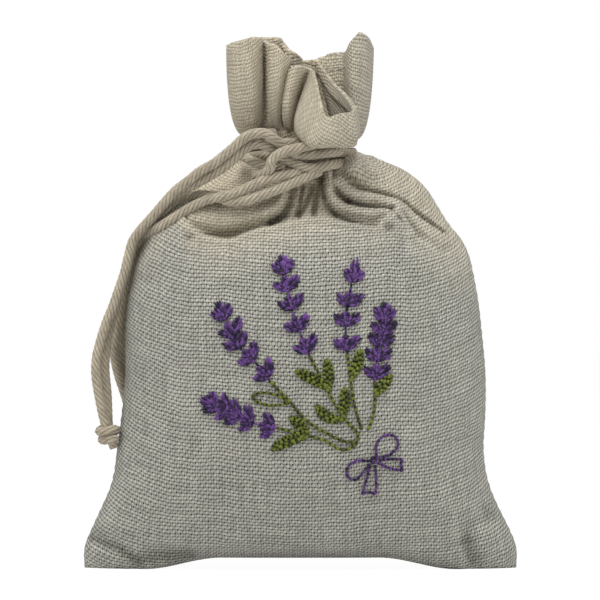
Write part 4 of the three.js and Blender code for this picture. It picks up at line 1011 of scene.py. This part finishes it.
class SACHET_OT_neck_tie(bpy.types.Operator):
    """Turns of cord round the gathered neck, and the hitch that holds them."""

    bl_idname = "sachet.neck_tie"
    bl_label = "Neck tie"

    def execute(self, context):
        sizes = context.scene.sachet_sizes
        diameter, lay = sizes.cord / MM, sizes.lay / MM
        material = bpy.data.materials["laid_cotton"]
        winding = rope_piece("winding_rope", [self.winding_path(sizes)], diameter, lay, (0, 0, 1), material)
        hitch = rope_piece("tie_hitch", [curve(route, CORD_STEP) for route in HITCH_ROUTES], diameter, lay,
                           (0, 1, 0), material)
        put_in(winding, "neck_winding")
        put_in(hitch, "tie_knot")
        return {"FINISHED"}

    @staticmethod
    def winding_path(sizes):
        """A spiral on an ellipse round the neck: one pitch up in each turn, and both ends turn out to the tie."""
        radius = sizes.cord / MM / 2
        across, out = (size / MM / 2 + WINDING_GAP + radius for size in (sizes.neck_width, sizes.neck_depth))
        first = math.asin((TIE_X + 2 * radius) / across)
        last = 2 * math.pi * WINDING_TURNS + math.asin((TIE_X - 2 * radius) / across)
        angle = np.linspace(first, last, 24 * WINDING_TURNS)
        low = sizes.neck_base / MM + WINDING_START
        turns = np.stack([across * np.sin(angle), -out * np.cos(angle),
                          low + WINDING_PITCH * (angle - first) / (2 * np.pi)], 1)
        reach = np.array([[0.4], [0.8], [1.2]])
        into = turns[0] + reach[::-1] * np.array([-0.35, -1, 0])
        away = turns[-1] + reach * np.array([0.35, -1, 0])
        return curve(np.concatenate([into, turns, away]), CORD_STEP)


class SACHET_OT_bag(bpy.types.Operator):
    """Front and back panels of linen, from the bottom seam to the ruffle's hem."""

    bl_idname = "sachet.bag"
    bl_label = "Linen bag"

    def execute(self, context):
        sizes, colours = given(context)
        bag = Bag(sizes)
        material = linen(sizes, colours)
        for name, side, columns, fade in (("front", -1, FRONT_COLUMNS, FRONT_FADE),
                                          ("back", 1, BACK_COLUMNS, BACK_FADE)):
            outer = bag.panel(side, columns)
            ridge = np.interp(outer[..., 0], *FRONT_RIDGE.T) if side < 0 else BACK_RIDGE
            # Painted top light: rises from below the ridge to above it, and is weaker right of the middle
            top_light = smoothstep(ridge - fade, ridge + TOP_LIGHT_RISE, outer[..., 2])
            top_light = top_light * (1 - 0.4 * smoothstep(2, 14, outer[..., 0]))
            piece = cloth_piece(f"{name}_cloth", outer, bag.panel(side, columns, False), side, bag.cloth, material,
                                top_light)
            put_in(piece, f"{name}_panel")
        return {"FINISHED"}


class SACHET_OT_filling(bpy.types.Operator):
    """Dried lavender inside the bag."""

    bl_idname = "sachet.filling"
    bl_label = "Lavender filling"

    def execute(self, context):
        piece = self.heap(Bag(context.scene.sachet_sizes), dried_lavender(context.scene.sachet_colours))
        put_in(piece, "lavender_fill")
        return {"FINISHED"}

    @staticmethod
    def heap(bag, material, rows=72, sides=144):
        """Rings round the bag's inside: the panels' depths, drawn in, over angle and height, with lumps."""
        height = np.linspace(2.6, 82, rows)
        angle = 2 * np.pi * np.arange(sides) / sides
        turn, z = np.meshgrid(angle, height)
        reach = -np.cos(turn)
        half = bag.sides(z)
        x = reach * (np.where(reach < 0, half[..., 0], half[..., 1]) - 3)
        front, back = bag.front_out(x, z), bag.back_out(x, z)
        lump = 0.35 * (np.sin(x * 1.3 + z * 0.7) * np.sin(z * 1.1 - x * 0.5) + np.sin(turn * 11 + z * 0.9))
        inset = 2.4 + lump + 2.2 * (1 - smoothstep(0, 14, z)) + 2 * smoothstep(70, 82, z)
        y = np.where(np.sin(turn) > 0, -np.maximum(front - inset, 0.05), np.maximum(back - inset, 0.05))
        y = y * np.abs(np.sin(turn)) ** 0.25
        points = np.stack([x, y, z + bag.lift(x, z)], -1).reshape(-1, 3)
        return make_piece("lavender_filling", points, tube(rows, sides)[2:], material)


class SACHET_OT_sewing(bpy.types.Operator):
    """Sewing of the seams and of the turned hem."""

    bl_idname = "sachet.sewing"
    bl_label = "Sewing"

    def execute(self, context):
        sizes, colours = given(context)
        bag = Bag(sizes)
        material = thread("linen_thread", times(1.1, colours.linen), times(0.8, colours.linen), 0.8)
        front, back = bag.panel(-1, FRONT_COLUMNS), bag.panel(1, BACK_COLUMNS)
        side_rows = slice(8, -RUFFLE_ROWS - 12, 3)
        lines = {
            "left_seam": self.seam(front[side_rows, 0], (-1, 0, 0)),
            "right_seam": self.seam(front[side_rows, -1], (1, 0, 0)),
            "bottom_seam": self.seam(front[0, 4:-4:4], (0, 0, -1)),
            "front_hem": self.hem(front, -1),
            "back_hem": self.hem(back, 1),
        }
        for number, (name, line) in enumerate(lines.items()):
            starts, ends = back_stitches(line, SEWING_STITCH, SEWING_GAP)
            piece = stitch_piece(f"{name}_stitches", starts, ends, SEWING_WIDTH, material, as_given,
                                 SEWING_SEED + number, arch=0.06, lift=-0.06)
            put_in(piece, f"{name}_thread")
        return {"FINISHED"}

    @staticmethod
    def seam(line, way):
        """A seam's line at the middle between the panels, with one normal all along it."""
        line = line * np.array([1, 0, 1])
        return np.concatenate([line, np.broadcast_to(np.array(way, float), line.shape)], 1)

    @staticmethod
    def hem(outer, side):
        """The line one turn below the hem on a panel's outer face, with the panel's normals."""
        left = to_hem(outer)[-RUFFLE_ROWS:]
        row = np.argmax(left < HEM_TURN, axis=0)
        column = np.arange(outer.shape[1])
        above, below = left[row, column], left[row - 1, column]
        share = ((below - HEM_TURN) / (below - above))[:, None]
        row = row + len(outer) - RUFFLE_ROWS
        line = [grid[row - 1, column] * (1 - share) + grid[row, column] * share
                for grid in (outer, outward(outer, side))]
        return np.concatenate(line, 1)[2:-2]


class SACHET_OT_flowers(bpy.types.Operator):
    """Lavender spikes in satin stitch."""

    bl_idname = "sachet.flowers"
    bl_label = "Flower heads"

    def execute(self, context):
        sizes, colours = given(context)
        surface = on_front(Bag(sizes))
        material = thread("flower_thread", colours.purple, colours.purple_deep)
        for index, sprig in enumerate(SPRIGS):
            florets = np.array(sprig["florets"])
            toward = unit(np.concatenate([florets[:1] - florets[1:2], florets[:-1] - florets[1:]]))
            lobes = [SPIKE if index == SPIKED else BUD] + [FLORET] * (len(florets) - 1)
            parts = [self.fan(place, way, shape, 10 * index + number)
                     for number, (place, way, shape) in enumerate(zip(florets, toward, lobes))]
            parts.append(back_stitches(np.concatenate([florets, np.array(sprig["stem"])[:1]]), SPINE_STITCH))
            piece = stitch_piece(f"flower_stitches_{index + 1}", *joined(parts), FLORET_WIDTH * sizes.stitch / MM,
                                 material, surface, FLOWER_SEED + index, lift=0.12, least_shade=0.25)
            put_in(piece, f"flower_head_{index + 1}")
        return {"FINISHED"}

    @staticmethod
    def fan(place, way, lobes, seed):
        """Stitches that fan out from a floret's foot to a lobed rim, in an inner ring and two outer ones.

        The rim's reach is a smooth curve over the angle from the sprig's own direction.
        """
        random = np.random.default_rng(seed)
        lobes = np.array(lobes)
        angle = np.linspace(lobes[0, 0], lobes[-1, 0], 21)
        reach = through(lobes[:, 0], lobes[:, 1], angle)
        foot = place - 2 * way
        aside = np.array([way[1], -way[0]])
        rings = []
        for low, high, skip in ((0.02, 0.42, 2), (0.3, 0.74, 1), (0.62, 1, 1)):
            turn = np.radians(angle + random.uniform(-3, 3, len(angle)))[::skip, None]
            ray = np.sin(turn) * aside + np.cos(turn) * way
            far = (reach * random.uniform(0.97, 1.03, len(angle)))[::skip, None]
            rings.append((foot + low * far * ray, foot + high * far * ray))
        return joined(rings)


class SACHET_OT_greenery(bpy.types.Operator):
    """Stems in back stitch, and leaves in rows of it."""

    bl_idname = "sachet.greenery"
    bl_label = "Stems and leaves"

    def execute(self, context):
        sizes, colours = given(context)
        surface = on_front(Bag(sizes))
        width = sizes.stitch / MM
        material = thread("leaf_thread", colours.green, colours.green_deep)
        stems = [back_stitches(sprig["stem"], STEM_STITCH, TIGHT_GAP) for sprig in SPRIGS]
        leaves = [self.leaf(LEAVES[0], OPEN_LEAF_ROWS, OPEN_LEAF_HALF)] + [self.leaf(points) for points in LEAVES[1:]]
        seed = GREEN_SEED
        for kind, wide, pieces in (("stem", STEM_WIDTH, stems), ("leaf", LEAF_WIDTH, leaves)):
            for number, (starts, ends) in enumerate(pieces, 1):
                # Painted shade at each stitch's ends
                piece = stitch_piece(f"{kind}_stitches_{number}", starts, ends, wide * width, material, surface, seed,
                                     least_shade=0.6, shaded_ends=0.75)
                put_in(piece, f"{kind}_{number}")
                seed += 1
        return {"FINISHED"}

    @staticmethod
    def leaf(points, rows=LEAF_ROWS, half=LEAF_HALF):
        """Rows of back stitches side by side along a leaf.

        Each row lies off the middle line by its share of the half width, times a sine of the share along the leaf.
        The rows' stitches differ in length, so their ends don't line up.
        """
        middle = curve(points, 0.5)
        share = np.linspace(0, 1, len(middle))[:, None]
        tangent = unit(np.gradient(middle, axis=0))
        aside = np.stack([-tangent[:, 1], tangent[:, 0]], 1)
        reach = half * np.sin(np.pi * share ** 0.8) ** 0.9
        return joined([back_stitches(middle + row * reach * aside, length, TIGHT_GAP)
                       for row, length in zip(rows, LEAF_STITCHES)])


class SACHET_OT_bow(bpy.types.Operator):
    """Bow in a line of back stitch."""

    bl_idname = "sachet.bow"
    bl_label = "Bow"

    def execute(self, context):
        sizes = context.scene.sachet_sizes
        starts, ends = joined([back_stitches(line, BOW_STITCH) for line in BOW_LINES])
        # Painted shade at each stitch's ends
        piece = stitch_piece("bow_stitches", starts, ends, BOW_WIDTH * sizes.stitch / MM,
                             bpy.data.materials["flower_thread"], on_front(Bag(sizes)), BOW_SEED, arch=0.2,
                             least_shade=0.5, shaded_ends=0.8)
        put_in(piece, "bow")
        return {"FINISHED"}


STEPS = (SACHET_OT_stage, SACHET_OT_cords, SACHET_OT_neck_tie, SACHET_OT_filling, SACHET_OT_bag, SACHET_OT_sewing,
         SACHET_OT_flowers, SACHET_OT_greenery, SACHET_OT_bow)


class SACHET_PT_panel(bpy.types.Panel):
    """Lists the sachet's pieces, sizes and colours."""

    bl_idname = "SACHET_PT_panel"
    bl_label = "Lavender sachet"
    bl_space_type = "VIEW_3D"
    bl_region_type = "UI"
    bl_category = "Sachet"

    def draw(self, context):
        for step in STEPS:
            self.layout.operator(step.bl_idname)
        for group in given(context):
            for key in group.__annotations__:
                self.layout.prop(group, key)


CLASSES = (SachetSizes, SachetColours, *STEPS, SACHET_PT_panel)


def register():
    for cls in CLASSES:
        bpy.utils.register_class(cls)
    bpy.types.Scene.sachet_sizes = PointerProperty(type=SachetSizes)
    bpy.types.Scene.sachet_colours = PointerProperty(type=SachetColours)


def unregister():
    del bpy.types.Scene.sachet_colours, bpy.types.Scene.sachet_sizes
    for cls in reversed(CLASSES):
        bpy.utils.unregister_class(cls)


def main():
    """Makes every piece in order."""
    register()
    for step in STEPS:
        group, name = step.bl_idname.split(".")
        getattr(getattr(bpy.ops, group), name)()


if __name__ == "__main__":
    main()
